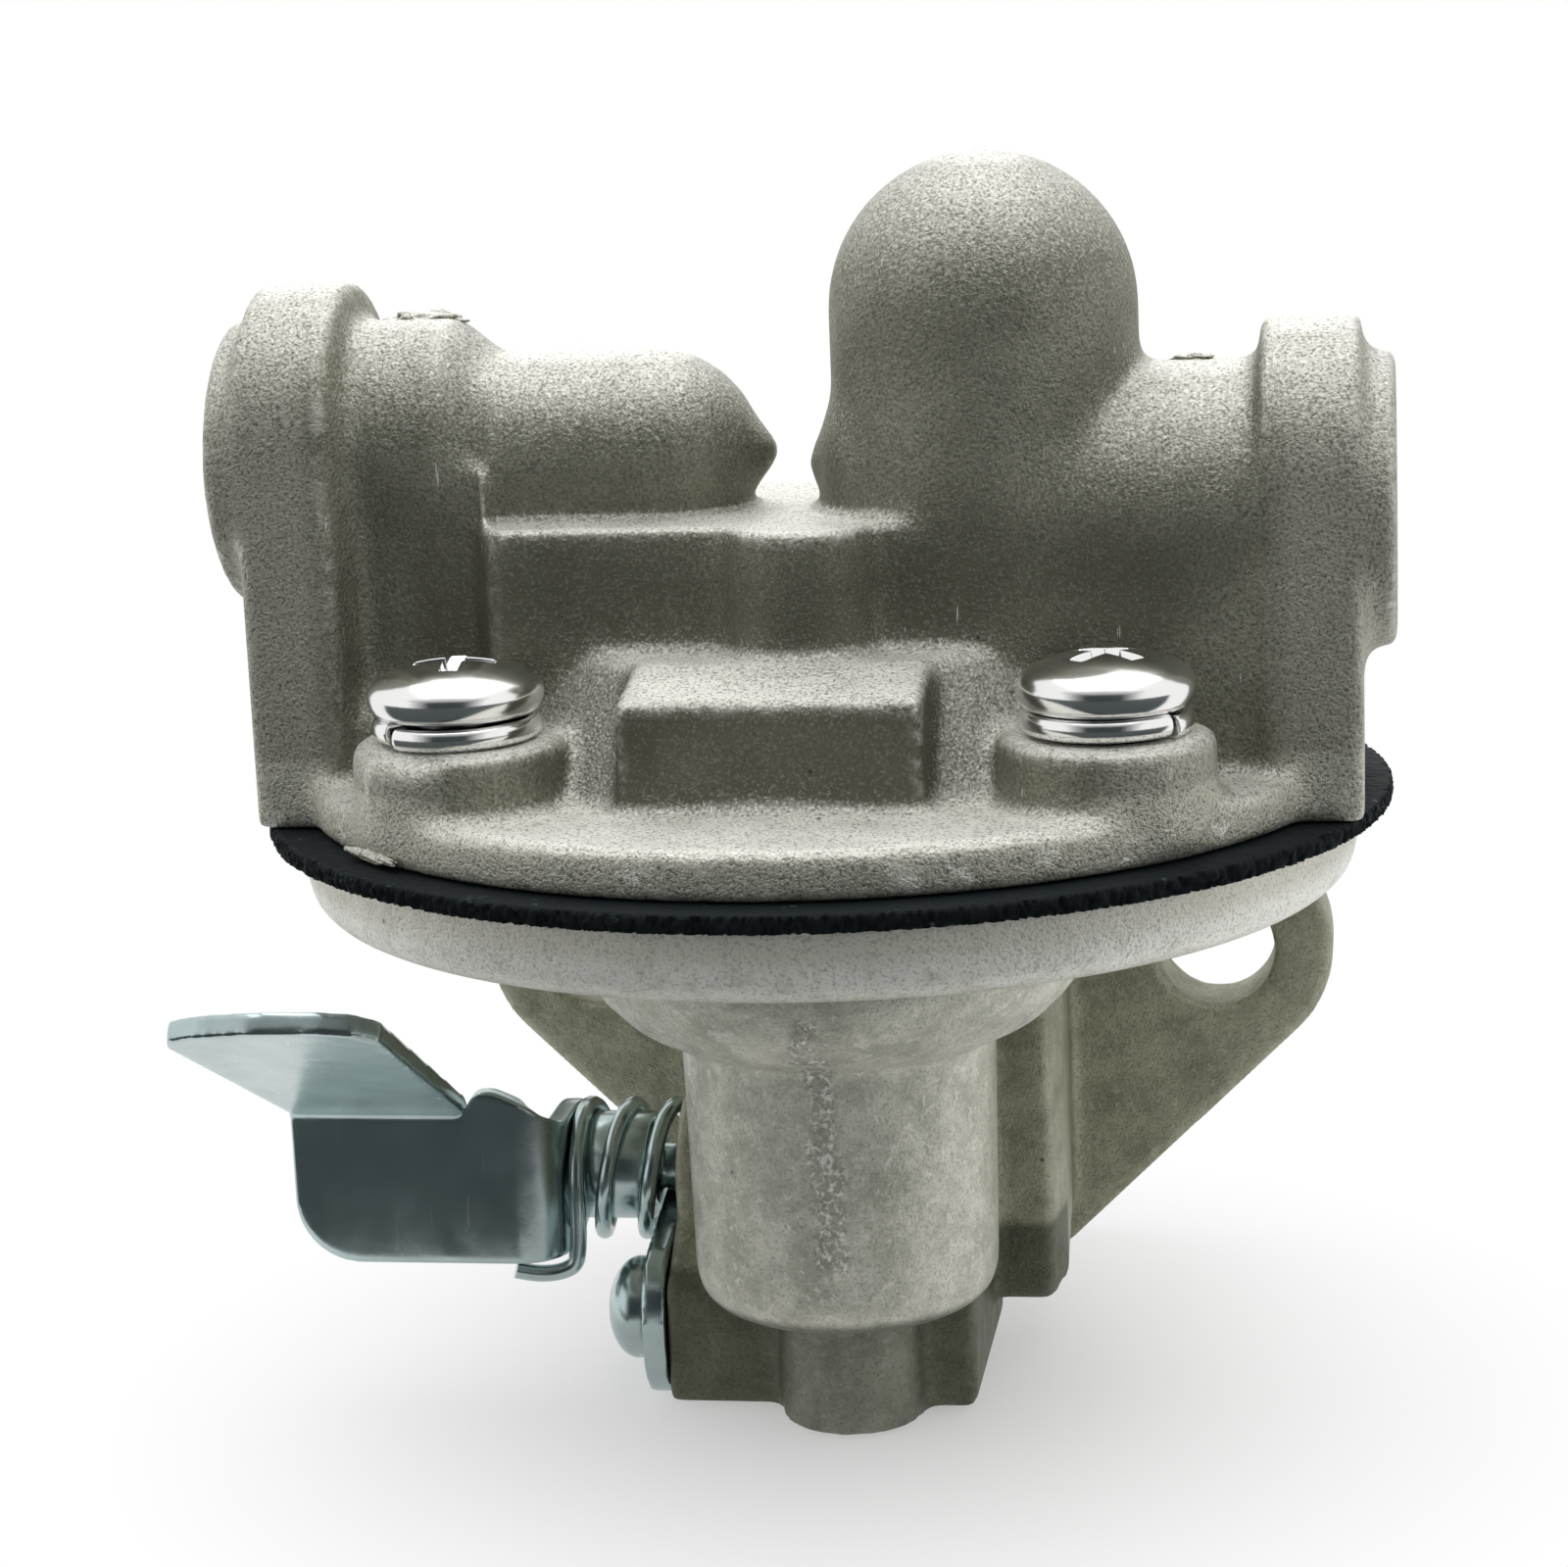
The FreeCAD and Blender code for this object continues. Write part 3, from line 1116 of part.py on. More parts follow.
def priming_spring():
    """Torsion spring on the shaft, from a hook under the lever's plate to a hole in the casting."""
    radius = value("{torsion_coil_radius}")
    wire = value("{torsion_wire_radius}")
    pitch = value("{torsion_pitch}")
    left = value("-{lever_inner} + {torsion_wire_radius} + 0.08")
    under = value("-{lever_bottom} - {torsion_wire_radius} - 0.13")
    plate = value("{lever_gauge} / 2 - {lever_forward}")
    face = value("-{housing_half_width}")
    path = [
        FreeCAD.Vector(left - 4.5, plate, under),
        FreeCAD.Vector(left - 3.1, plate + 0.6, under - 0.3),
        FreeCAD.Vector(left - 1.8, plate + 1.1, under - 0.4),
        FreeCAD.Vector(left - 0.6, plate + 1.4, under - 0.05),
        FreeCAD.Vector(left - 0.12, plate + 1.5, under + 0.45),
        FreeCAD.Vector(left, -radius, -4.2),
        FreeCAD.Vector(left, -radius, -2.1),
    ]
    for angle in range(0, 871, 30):
        turn = max(angle - 90, 0) / 360
        lean = value("{torsion_lean}") * (math.sin(math.radians(angle)) - 1) * min(turn * 2, 1)
        path.append(on_coil(left + pitch * turn + lean, radius, math.radians(angle)))
    last = path[-1]
    path.append(FreeCAD.Vector(face - 0.2, last.y + 0.15, last.z - 0.35))
    path.append(FreeCAD.Vector(face + 0.8, last.y + 0.05, last.z - 0.4))
    path.append(FreeCAD.Vector(face + 1.8, last.y + 0.05, last.z - 0.4))
    curve = Part.BSplineCurve()
    curve.interpolate(path)
    section = hexagon(wire, path[0], curve.tangent(curve.FirstParameter)[0])
    feature = doc.addObject("Part::Feature", "priming_spring")
    feature.Label = "priming_spring"
    feature.Shape = Part.Wire([curve.toShape()]).makePipeShell([section], True, False)
    place(feature, "0", "{shaft_setback} - {flange_reach}", "{flange_drop} - {shaft_drop}")
    PIECES.append(feature)


def hexagon(radius, centre, normal):
    """A six-sided outline square to a direction."""
    facing = FreeCAD.Rotation(FreeCAD.Vector(0, 0, 1), normal)
    spokes = [facing.multVec(FreeCAD.Vector(radius, 0, 0)) for step in range(6)]
    corners = [centre + FreeCAD.Rotation(normal, 60 * step).multVec(spoke) for step, spoke in enumerate(spokes)]
    return Part.makePolygon(corners + corners[:1])


def on_coil(x, radius, angle):
    """A point of the torsion spring: angle zero is in front of the shaft and a right angle above it."""
    return FreeCAD.Vector(x, -radius * math.cos(angle), radius * math.sin(angle))


def keeper():
    """Plate that keeps the shaft by its groove and the pin by its end, and its screw."""
    body = piece("retainer_plate", x="-{housing_half_width} - {keeper_gauge}")
    reach = "({keeper_groove_radius} + 0.15) / cos({keeper_slope})"

    def edge_level(y):
        return f"-{{shaft_drop}} - {reach} + (({y}) - {{shaft_setback}}) * tan({{keeper_slope}})"

    front = "{keeper_screw_setback} - 5.7"
    back = "{pin_setback} + 4.5"
    bottom = "-{keeper_screw_drop} - 5.7"
    plate = pad(
        body, "YZ_Plane",
        [
            (front, bottom),
            ("{keeper_screw_setback} + 4", bottom),
            (back, "-{pin_drop} - 6"),
            (back, edge_level(back)),
            (front, edge_level(front)),
        ],
        "{keeper_gauge}",
    )
    along = FreeCAD.Vector(1, 0, 0)
    plate = rounded(
        body, plate, "4.6",
        lambda edge: runs_along(edge, along) and near(edge.CenterOfMass.y, front),
    )
    rounded(
        body, plate, "2.5",
        lambda edge: runs_along(edge, along) and near(edge.CenterOfMass.y, back),
    )
    hole = "{keeper_screw_radius} + {free_gap}"
    cylinder(
        body, "Subtractive", hole, "{keeper_gauge} + 2", "-1", "{keeper_screw_setback}", "-{keeper_screw_drop}", ALONG_X
    )
    body = piece(
        "retainer_screw", "-{housing_half_width} - {keeper_gauge}",
        "{keeper_screw_setback} - {flange_reach}", "{flange_drop} - {keeper_screw_drop}",
        FreeCAD.Rotation(FreeCAD.Vector(0, 1, 0), -90),
    )
    shank = [
        ("0", "-{keeper_gauge} - 7.6"),
        ("{keeper_screw_radius}", "-{keeper_gauge} - 7.6"),
        ("{keeper_screw_radius}", "0"),
    ]
    turned(body, shank + pan_head("{keeper_head_radius}", "{keeper_head_height}"))
    for long_x, long_y in (("1.9", "0.45"), ("0.45", "1.9")):
        low = (f"-{long_x}", f"-{long_y}", "{keeper_head_height} - 1.2")
        box(body, "Subtractive", low, (long_x, long_y, "{keeper_head_height} + 1"))


# Build, test and write


def spoiled():
    """Objects that failed, and pieces whose shape is empty or broken."""
    failed = [item.Name for item in doc.Objects if {"Invalid", "Error"} & set(item.State)]
    broken = [item.Label for item in PIECES if item.Shape.isNull() or not item.Shape.isValid()]
    return failed + broken


def main():
    fill_sheet()
    upper_cover()
    lower_body()
    diaphragm()
    diaphragm_plates()
    pull_rod()
    diaphragm_spring()
    rod_seal()
    valves()
    cover_screws()
    rocker_arm()
    link_lever()
    rocker_pin()
    rocker_return_spring()
    priming_shaft()
    shaft_o_ring()
    priming_lever()
    priming_spring()
    keeper()
    doc.recompute()
    faults = spoiled()
    if faults:
        raise SystemExit("failed: " + ", ".join(faults))
    os.makedirs("parts", exist_ok=True)
    for item in PIECES:
        item.Shape.exportStep(f"parts/{item.Label}.step")


main()
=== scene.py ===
"""Looks of the fuel feed pump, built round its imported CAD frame. All lengths are in metres."""

import json
import math

import bmesh
import bpy
import numpy as np
from mathutils import Matrix, Vector, noise


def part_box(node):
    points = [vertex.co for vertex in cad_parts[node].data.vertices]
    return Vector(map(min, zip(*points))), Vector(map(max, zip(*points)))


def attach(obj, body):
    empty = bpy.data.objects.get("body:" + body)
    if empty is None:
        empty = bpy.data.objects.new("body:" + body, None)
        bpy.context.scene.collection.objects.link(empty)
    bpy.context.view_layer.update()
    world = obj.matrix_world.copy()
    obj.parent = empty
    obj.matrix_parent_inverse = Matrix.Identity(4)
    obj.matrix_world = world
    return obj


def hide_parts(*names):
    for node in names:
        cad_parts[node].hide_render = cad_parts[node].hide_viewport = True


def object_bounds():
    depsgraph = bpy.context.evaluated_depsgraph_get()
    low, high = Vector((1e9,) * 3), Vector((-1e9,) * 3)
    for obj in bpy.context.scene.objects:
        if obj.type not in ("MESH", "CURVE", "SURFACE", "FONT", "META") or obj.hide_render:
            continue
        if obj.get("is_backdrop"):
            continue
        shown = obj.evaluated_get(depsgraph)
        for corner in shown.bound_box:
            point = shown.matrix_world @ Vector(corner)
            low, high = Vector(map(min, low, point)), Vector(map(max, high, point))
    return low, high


MM = 0.001
DIAPHRAGM_Y = -42 * MM
PORT_Y = -47 * MM
PRIMING_AXIS = Vector((0, -31, -10)) * MM
PAN_HEIGHT = 3.4 * MM

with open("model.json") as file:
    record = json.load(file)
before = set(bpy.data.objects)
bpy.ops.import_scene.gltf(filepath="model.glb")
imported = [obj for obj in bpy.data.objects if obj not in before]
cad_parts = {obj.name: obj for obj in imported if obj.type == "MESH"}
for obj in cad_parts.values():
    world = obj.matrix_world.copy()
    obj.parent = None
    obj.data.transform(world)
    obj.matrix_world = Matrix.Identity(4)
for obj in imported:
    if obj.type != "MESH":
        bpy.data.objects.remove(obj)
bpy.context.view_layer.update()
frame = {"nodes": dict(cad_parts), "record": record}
nodes = frame["nodes"]
bodies = frame["record"]["behaviour"]["bodies"]
body_of = {node: body for body, names in bodies.items() for node in names}


# Shader nodes


class Shader:
    """A material under construction, with short calls for its nodes."""

    def __init__(self, name, **settings):
        self.material = bpy.data.materials.new(name)
        self.material.use_nodes = True
        self.tree = self.material.node_tree
        self.surface = self.tree.nodes["Principled BSDF"]
        self.place = self.add("ShaderNodeTexCoord").outputs["Object"]
        for socket, number in settings.items():
            self.surface.inputs[socket.replace("_", " ")].default_value = number

    def add(self, kind, **inputs):
        """A node whose inputs are numbers or other nodes' outputs."""
        node = self.tree.nodes.new(kind)
        for socket, given in inputs.items():
            self.feed(node.inputs[socket.replace("_", " ")], given)
        return node

    def feed(self, socket, given):
        """Set an input to a number or link another node's output to it."""
        if isinstance(given, bpy.types.NodeSocket):
            self.tree.links.new(given, socket)
        else:
            socket.default_value = given

    def noise(self, scale, detail=4.0, roughness=0.6, vector=None):
        place = vector or self.place
        node = self.add("ShaderNodeTexNoise", Vector=place, Scale=scale, Detail=detail, Roughness=roughness)
        return node.outputs["Fac"]

    def cells(self, scale):
        return self.add("ShaderNodeTexVoronoi", Vector=self.place, Scale=scale).outputs["Distance"]

    def stretched(self, x, y, z, turn=0.0):
        """Object coordinates scaled along each axis, for streaks."""
        node = self.add("ShaderNodeMapping", Vector=self.place)
        node.inputs["Scale"].default_value = (x, y, z)
        node.inputs["Rotation"].default_value = (0, turn, 0)
        return node.outputs["Vector"]

    def spread(self, value, low, high, to_low=0.0, to_high=1.0):
        """Map a range of a value to another range, clamped."""
        node = self.add("ShaderNodeMapRange", Value=value)
        sockets = ("From Min", "From Max", "To Min", "To Max")
        for socket, number in zip(sockets, (low, high, to_low, to_high)):
            node.inputs[socket].default_value = number
        return node.outputs["Result"]

    def math(self, operation, a, b=0.0):
        node = self.tree.nodes.new("ShaderNodeMath")
        node.operation = operation
        self.feed(node.inputs[0], a)
        self.feed(node.inputs[1], b)
        return node.outputs[0]

    def product(self, *shares):
        """Multiply shares, so that the result is high only where all of them are."""
        result = shares[0]
        for share in shares[1:]:
            result = self.math("MULTIPLY", result, share)
        return result

    def mix(self, share, first, second):
        """Blend two colours."""
        node = self.tree.nodes.new("ShaderNodeMix")
        node.data_type = "RGBA"
        self.feed(node.inputs["Factor"], share)
        for index, given in ((6, first), (7, second)):
            is_plain = not isinstance(given, bpy.types.NodeSocket)
            self.feed(node.inputs[index], (*given, 1.0) if is_plain else given)
        return node.outputs[2]

    def tinted(self, share, colour, tint):
        """Multiply a colour by a tint in a given share."""
        product = self.mix(share, colour, tint)
        product.node.blend_type = "MULTIPLY"
        return product

    def split(self, vector):
        """The three parts of a vector."""
        return self.add("ShaderNodeSeparateXYZ", Vector=vector).outputs

    def facing_up(self):
        """How far the surface faces up, from -1 to 1."""
        return self.split(self.add("ShaderNodeNewGeometry").outputs["Normal"])["Z"]

    def edges(self, low, high):
        """One on outer edges and corners."""
        return self.spread(self.add("ShaderNodeNewGeometry").outputs["Pointiness"], low, high)

    def outside(self, start, end):
        """One beyond a distance from the diaphragm's axis."""
        node = self.add("ShaderNodeMapping", Vector=self.place)
        node.inputs["Location"].default_value = (0, -DIAPHRAGM_Y, 0)
        node.inputs["Scale"].default_value = (1, 1, 0)
        length = self.add("ShaderNodeVectorMath", Vector=node.outputs["Vector"])
        length.operation = "LENGTH"
        return self.spread(length.outputs["Value"], start, end)

    def near_line(self, x, half_width, low, high):
        """One on an upright band in front of the pump, fading at its sides and ends."""
        place = self.split(self.place)
        bend = half_width * 0.7
        wobble = self.spread(self.noise(250, 2), 0.3, 0.7, -bend, bend)
        aside = self.math("ABSOLUTE", self.math("ADD", self.math("SUBTRACT", place["X"], x), wobble))
        across = self.spread(aside, half_width * 0.6, half_width, 1.0, 0.0)
        front = self.spread(place["Y"], -47 * MM, -49 * MM)
        above = self.spread(place["Z"], low, low + MM)
        below = self.spread(place["Z"], high, high - MM)
        return self.product(across, front, above, below)

    def bump(self, *layers):
        """Stack bump layers, each a height output and its depth in metres."""
        normal = None
        for height, depth in layers:
            node = self.add("ShaderNodeBump", Height=height, Distance=depth, Strength=1.0)
            if normal:
                self.tree.links.new(normal, node.inputs["Normal"])
            normal = node.outputs["Normal"]
        self.tree.links.new(normal, self.surface.inputs["Normal"])

    def cover_part(self, share, other):
        """Show another shader's output in a share of the surface."""
        blend = self.add("ShaderNodeMixShader")
        self.feed(blend.inputs[0], share)
        self.feed(blend.inputs[1], self.surface.outputs[0])
        self.feed(blend.inputs[2], other)
        self.feed(self.tree.nodes["Material Output"].inputs["Surface"], blend.outputs[0])

    def finish(self, colour, roughness=None):
        """Set the colour and the roughness, and return the material."""
        self.feed(self.surface.inputs["Base Color"], colour)
        if roughness:
            self.feed(self.surface.inputs["Roughness"], roughness)
        return self.material


def scaled(colour, factor):
    """A colour made lighter or darker."""
    return tuple(min(1.0, channel * factor) for channel in colour)


def pitted(shader, colour, dark):
    """Few small dark pits."""
    pits = shader.spread(shader.cells(520), 0.0, 0.12, 1.0, 0.0)
    rare = shader.spread(shader.noise(170, 2), 0.62, 0.66)
    return shader.mix(shader.product(pits, rare), colour, dark)


def scuffs_and_edge_highlights(shader, colour, pale, amount):
    """Short fine scratches in two directions, and pale outer edges that are partly rubbed wear and partly a
    painted highlight.
    """
    rubbed = shader.spread(shader.noise(900, 3, 0.7), 0.42, 0.6)
    # Pale outer edges: partly rubbed wear, partly a painted edge highlight.
    worn_and_highlit = shader.product(shader.edges(0.507, 0.545), rubbed, amount)
    colour = shader.mix(worn_and_highlit, colour, pale)
    for turn, level in ((0.5, 0.75), (-0.9, 0.745)):
        streaks = shader.noise(1.0, 2, 0.6, shader.stretched(2300, 600, 230, turn))
        colour = shader.mix(shader.spread(streaks, level, level + 0.02, 0.0, amount), colour, pale)
    return colour


def cast_cover():
    """Sand-rough cast aluminium of the cover, olive where it stands upright, with painted light that makes
    it bright where it faces up.
    """
    light = (0.35, 0.348, 0.278)
    dark = (0.22, 0.22, 0.168)
    shader = Shader("cast_cover", Metallic=0.8)
    blotches = shader.spread(shader.noise(110, 5), 0.35, 0.68)
    colour = shader.mix(blotches, dark, light)
    outer_band = shader.outside(33.5 * MM, 35 * MM)
    colour = shader.mix(outer_band, colour, (0.45, 0.44, 0.375))
    place = shader.split(shader.place)
    height = place["Z"]
    rim = shader.product(outer_band, shader.spread(height, 26 * MM, 25.5 * MM))
    colour = shader.mix(rim, colour, (0.62, 0.61, 0.52))
    patches = shader.spread(shader.noise(260, 5, 0.7), 0.54, 0.60)
    rubbed = shader.product(rim, shader.spread(height, 23.6 * MM, 22.4 * MM), patches)
    colour = shader.mix(rubbed, colour, (0.97, 0.96, 0.88))
    # Painted shade: the cover's lower middle, under the pipes, is darkened, but not low down on the bosses
    # at its sides.
    inside = shader.math("SUBTRACT", 1.0, shader.outside(27 * MM, 30 * MM))
    between_bosses = shader.spread(shader.math("ABSOLUTE", place["X"]), 13.5 * MM, 12.5 * MM)
    over_bosses = shader.spread(height, 30 * MM, 32 * MM)
    off_bosses = shader.math("MAXIMUM", between_bosses, over_bosses)
    low = shader.product(inside, shader.spread(height, 45 * MM, 37 * MM), off_bosses)
    colour = shader.tinted(low, colour, (0.54, 0.54, 0.51))
    # Painted light: surfaces that face up are made lighter, as if lit from above.
    up = shader.facing_up()
    colour = shader.mix(shader.spread(up, 0.3, 0.85), colour, (0.62, 0.61, 0.56))
    colour = shader.mix(shader.spread(up, 0.90, 0.99), colour, (1.0, 0.99, 0.93))
    grain = shader.noise(4600, 2, 0.7)
    hollow = shader.spread(grain, 0.32, 0.50, 0.85, 0.0)
    colour = shader.mix(hollow, colour, scaled(dark, 0.6))
    # The grain's peaks are pale; where the surface faces up they also get a painted glint.
    grain_peak_glint = shader.spread(grain, 0.54, 0.66, 0.0, 0.8)
    grain_peak_glint = shader.product(grain_peak_glint, shader.spread(up, 0.0, 0.8, 0.15, 1.0))
    colour = shader.mix(grain_peak_glint, colour, (0.86, 0.85, 0.79))
    colour = pitted(shader, colour, (0.03, 0.03, 0.025))
    colour = scuffs_and_edge_highlights(shader, colour, (0.80, 0.79, 0.73), 0.7)
    shader.bump(
        (shader.noise(150, 2), 0.0002),
        (shader.noise(2200, 3, 0.7), 0.00013),
        (grain, 0.0001),
    )
    return shader.finish(colour, shader.spread(shader.noise(400), 0.3, 0.7, 0.48, 0.62))


def cast_body():
    """Smoother and lighter cast aluminium of the lower body, with the mould's seam on the barrel."""
    light = (0.78, 0.775, 0.68)
    dark = (0.50, 0.50, 0.42)
    pale = (0.88, 0.87, 0.80)
    shader = Shader("cast_body", Metallic=0.65)
    colour = shader.mix(shader.spread(shader.noise(330, 6, 0.7), 0.36, 0.62), dark, light)
    place = shader.split(shader.place)
    height = place["Z"]
    # Painted light: the disc's outer edge is made lighter, standing in for floor light reflected by its
    # underside.
    disc = shader.product(shader.outside(34 * MM, 35 * MM), shader.spread(height, 11.5 * MM, 12 * MM))
    colour = shader.mix(disc, colour, (0.80, 0.79, 0.70))
    patches = shader.spread(shader.noise(500, 5, 0.75), 0.34, 0.48)
    rubbed = shader.product(shader.spread(height, 18.0 * MM, 16.8 * MM), disc, patches)
    colour = shader.mix(rubbed, colour, (1.0, 1.0, 0.94))
    grain = shader.noise(4400, 2, 0.7)
    colour = shader.mix(shader.spread(grain, 0.32, 0.50, 0.55, 0.0), colour, scaled(dark, 0.6))
    colour = shader.mix(shader.spread(shader.noise(1500, 3, 0.7), 0.56, 0.68, 0.0, 0.7), colour, pale)
    seam = shader.near_line(0.5 * MM, 1.2 * MM, -11.0 * MM, 9.5 * MM)
    colour = shader.tinted(shader.product(seam, 0.3), colour, (0.3, 0.3, 0.26))
    flecks = shader.product(seam, shader.spread(shader.noise(1900, 3, 0.7), 0.46, 0.58))
    colour = shader.mix(flecks, colour, (1.0, 0.99, 0.93))
    colour = pitted(shader, colour, (0.03, 0.03, 0.025))
    colour = scuffs_and_edge_highlights(shader, colour, pale, 0.7)
    # Painted shade: the lower body is darkened where it lies back and low, under the disc.
    behind = shader.product(
        shader.spread(place["Y"], -46 * MM, DIAPHRAGM_Y),
        shader.spread(height, 9 * MM, 4 * MM),
    )
    colour = shader.tinted(behind, colour, (0.56, 0.565, 0.49))
    # Painted shade: the foot, low down at the front next to the floor, is darkened.
    foot_shade = shader.product(
        shader.spread(height, -14.2 * MM, -14.9 * MM),
        shader.spread(place["Y"], -24 * MM, -22.5 * MM, 1.0, 0.0),
    )
    colour = shader.tinted(foot_shade, colour, (0.39, 0.40, 0.37))
    shader.bump(
        (shader.noise(130, 2), 0.0003),
        (shader.noise(1500, 3, 0.7), 0.00009),
        (grain, 0.00008),
        (flecks, 0.0004),
    )
    return shader.finish(colour, shader.spread(shader.noise(300), 0.3, 0.7, 0.48, 0.62))


def plated_steel(name, colour, roughness, haze, wave):
    """Plated steel with a faint haze, fine scratches and slight waves."""
    shader = Shader(name, Metallic=1.0)
    tint = shader.mix(shader.spread(shader.noise(160, 4), 0.35, 0.65), colour, scaled(colour, haze))
    scratches = shader.noise(1.0, 2, 0.6, shader.stretched(2600, 900, 150, 0.9))
    tint = shader.mix(shader.spread(scratches, 0.70, 0.73, 0.0, 0.6), tint, (0.85, 0.86, 0.86))
    shader.bump((shader.noise(120, 2), wave), (shader.noise(900, 3), wave * 0.1))
    return shader.finish(tint, shader.spread(shader.noise(260), 0.3, 0.7, roughness * 0.8, roughness * 1.3))


def rubber():
    """Rubberised cloth, bluish black with a little pale lint."""
    shader = Shader("black_rubber", Roughness=0.7, Specular_IOR_Level=0.2)
    threads = shader.noise(1.0, 3, 0.7, shader.stretched(500, 500, 1800))
    lint = shader.spread(threads, 0.66, 0.74, 0.0, 0.7)
    colour = shader.mix(lint, (0.002, 0.006, 0.008), (0.16, 0.20, 0.21))
    shader.bump((shader.noise(300, 3), 0.0003), (shader.noise(1500, 2), 0.0001))
    return shader.finish(colour)


def brass():
    """Turned brass."""
    shader = Shader("valve_brass", Metallic=1.0, Roughness=0.35)
    colour = shader.mix(shader.noise(300), (0.60, 0.42, 0.16), (0.72, 0.55, 0.26))
    shader.bump((shader.noise(1200, 2), 0.00001))
    return shader.finish(colour)


MATERIALS = {
    "cast_cover": cast_cover(),
    "cast_body": cast_body(),
    "bright_steel": plated_steel("bright_steel", (0.88, 0.88, 0.87), 0.15, 0.95, 0.00008),
    "zinc_steel": plated_steel("zinc_steel", (0.50, 0.60, 0.60), 0.22, 0.85, 0.00012),
    "plain_steel": plated_steel("plain_steel", (0.55, 0.58, 0.58), 0.18, 0.88, 0.00006),
    "spring_steel": plated_steel("spring_steel", (0.46, 0.51, 0.51), 0.22, 0.8, 0.0001),
    "black_rubber": rubber(),
    "valve_brass": brass(),
}
SLOT_OF = {item["node"]: item["material_slot"] for item in frame["record"]["subparts"]}


# Pieces


def dress_nodes():
    """Give every CAD node the material of its slot."""
    for name, node in nodes.items():
        node.data.materials.clear()
        node.data.materials.append(MATERIALS[SLOT_OF[name]])


def hand_over(piece, *replaced):
    """Let a piece stand for CAD nodes and ride with their body."""
    first = replaced[0]
    piece.data.materials.clear()
    piece.data.materials.append(MATERIALS[SLOT_OF[first]])
    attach(piece, body_of[first])
    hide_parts(*replaced)


def new_object(name, mesh):
    """An object of the scene with this mesh."""
    piece = bpy.data.objects.new(name, mesh)
    bpy.context.scene.collection.objects.link(piece)
    return piece


def applied(piece):
    """Replace the piece's mesh by the result of its modifiers."""
    graph = bpy.context.evaluated_depsgraph_get()
    mesh = bpy.data.meshes.new_from_object(piece.evaluated_get(graph))
    piece.modifiers.clear()
    piece.data = mesh
    return piece


def make_smooth(mesh):
    """Shade all faces smooth."""
    mesh.polygons.foreach_set("use_smooth", [True] * len(mesh.polygons))


def smooth_mesh(name, shape):
    """A smooth mesh from a bmesh, which is freed."""
    mesh = bpy.data.meshes.new(name)
    shape.to_mesh(mesh)
    shape.free()
    make_smooth(mesh)
    return mesh


def break_edges(piece, width, angle):
    """Bevel the edges that turn by more than an angle in degrees, once the modifiers are applied."""
    broken = piece.modifiers.new("edges", "BEVEL")
    broken.width = width
    broken.segments = 2
    broken.limit_method = "ANGLE"
    broken.angle_limit = math.radians(angle)


def around(radius, angle, height):
    """The point at a radius and an angle about the Z axis."""
    return (radius * math.cos(angle), radius * math.sin(angle), height)


def remeshed(name, voxel, filler=None):
    """A copy of a CAD node as even small squares. The filler is a box that closes a slot, in millimetres."""
    mesh = nodes[name].data.copy()
    shape = bmesh.new()
    shape.from_mesh(mesh)
    if filler:
        low, high = (Vector(corner) * MM for corner in filler)
        place = Matrix.Translation((low + high) / 2) @ Matrix.Diagonal((*(high - low), 1))
        bmesh.ops.create_cube(shape, size=1, matrix=place)
    bmesh.ops.remove_doubles(shape, verts=shape.verts, dist=1e-6)
    shape.to_mesh(mesh)
    shape.free()
    piece = new_object(name + "_look", mesh)
    remesh = piece.modifiers.new("remesh", "REMESH")
    remesh.mode = "VOXEL"
    remesh.voxel_size = voxel
    return applied(piece)


def fill_corners(mesh, rounds, fill, wear):
    """Round inner corners by the fill share in each round, and outer edges by the wear share."""
    count = len(mesh.vertices)
    places = np.empty(count * 3)
    mesh.vertices.foreach_get("co", places)
    places = places.reshape(-1, 3)
    ends = np.empty(len(mesh.edges) * 2, dtype=np.int32)
    mesh.edges.foreach_get("vertices", ends)
    first, second = ends.reshape(-1, 2).T
    neighbours = np.bincount(ends, minlength=count)[:, None]
    normals = np.empty(count * 3)
    for turn in range(rounds):
        if turn % 4 == 0:
            mesh.vertices.foreach_set("co", places.ravel())
            mesh.update()
            mesh.vertex_normals.foreach_get("vector", normals)
        sums = np.empty_like(places)
        for axis in range(3):
            ahead = np.bincount(first, places[second, axis], count)
            behind = np.bincount(second, places[first, axis], count)
            sums[:, axis] = ahead + behind
        pull = sums / neighbours - places
        outward = (pull * normals.reshape(-1, 3)).sum(1) > 0
        places += pull * np.where(outward, fill, wear)[:, None]
    mesh.vertices.foreach_set("co", places.ravel())
    mesh.update()


def rounded_look(name, voxel, rounds, fill, wear, keep=1.0, shape=None, filler=None):
    """A CAD node with the real piece's filled corners and slightly worn edges."""
    piece = remeshed(name, voxel, filler)
    if shape:
        shape(piece.data)
    fill_corners(piece.data, rounds, fill, wear)
    if keep < 1.0:
        thin = piece.modifiers.new("thin", "DECIMATE")
        thin.ratio = keep
        applied(piece)
    make_smooth(piece.data)
    hand_over(piece, name)


def vertex_table(mesh):
    """Places and normals of a mesh's vertices, one row each."""
    places = np.empty(len(mesh.vertices) * 3)
    mesh.vertices.foreach_get("co", places)
    normals = np.empty(len(mesh.vertices) * 3)
    mesh.vertex_normals.foreach_get("vector", normals)
    return places.reshape(-1, 3), normals.reshape(-1, 3)


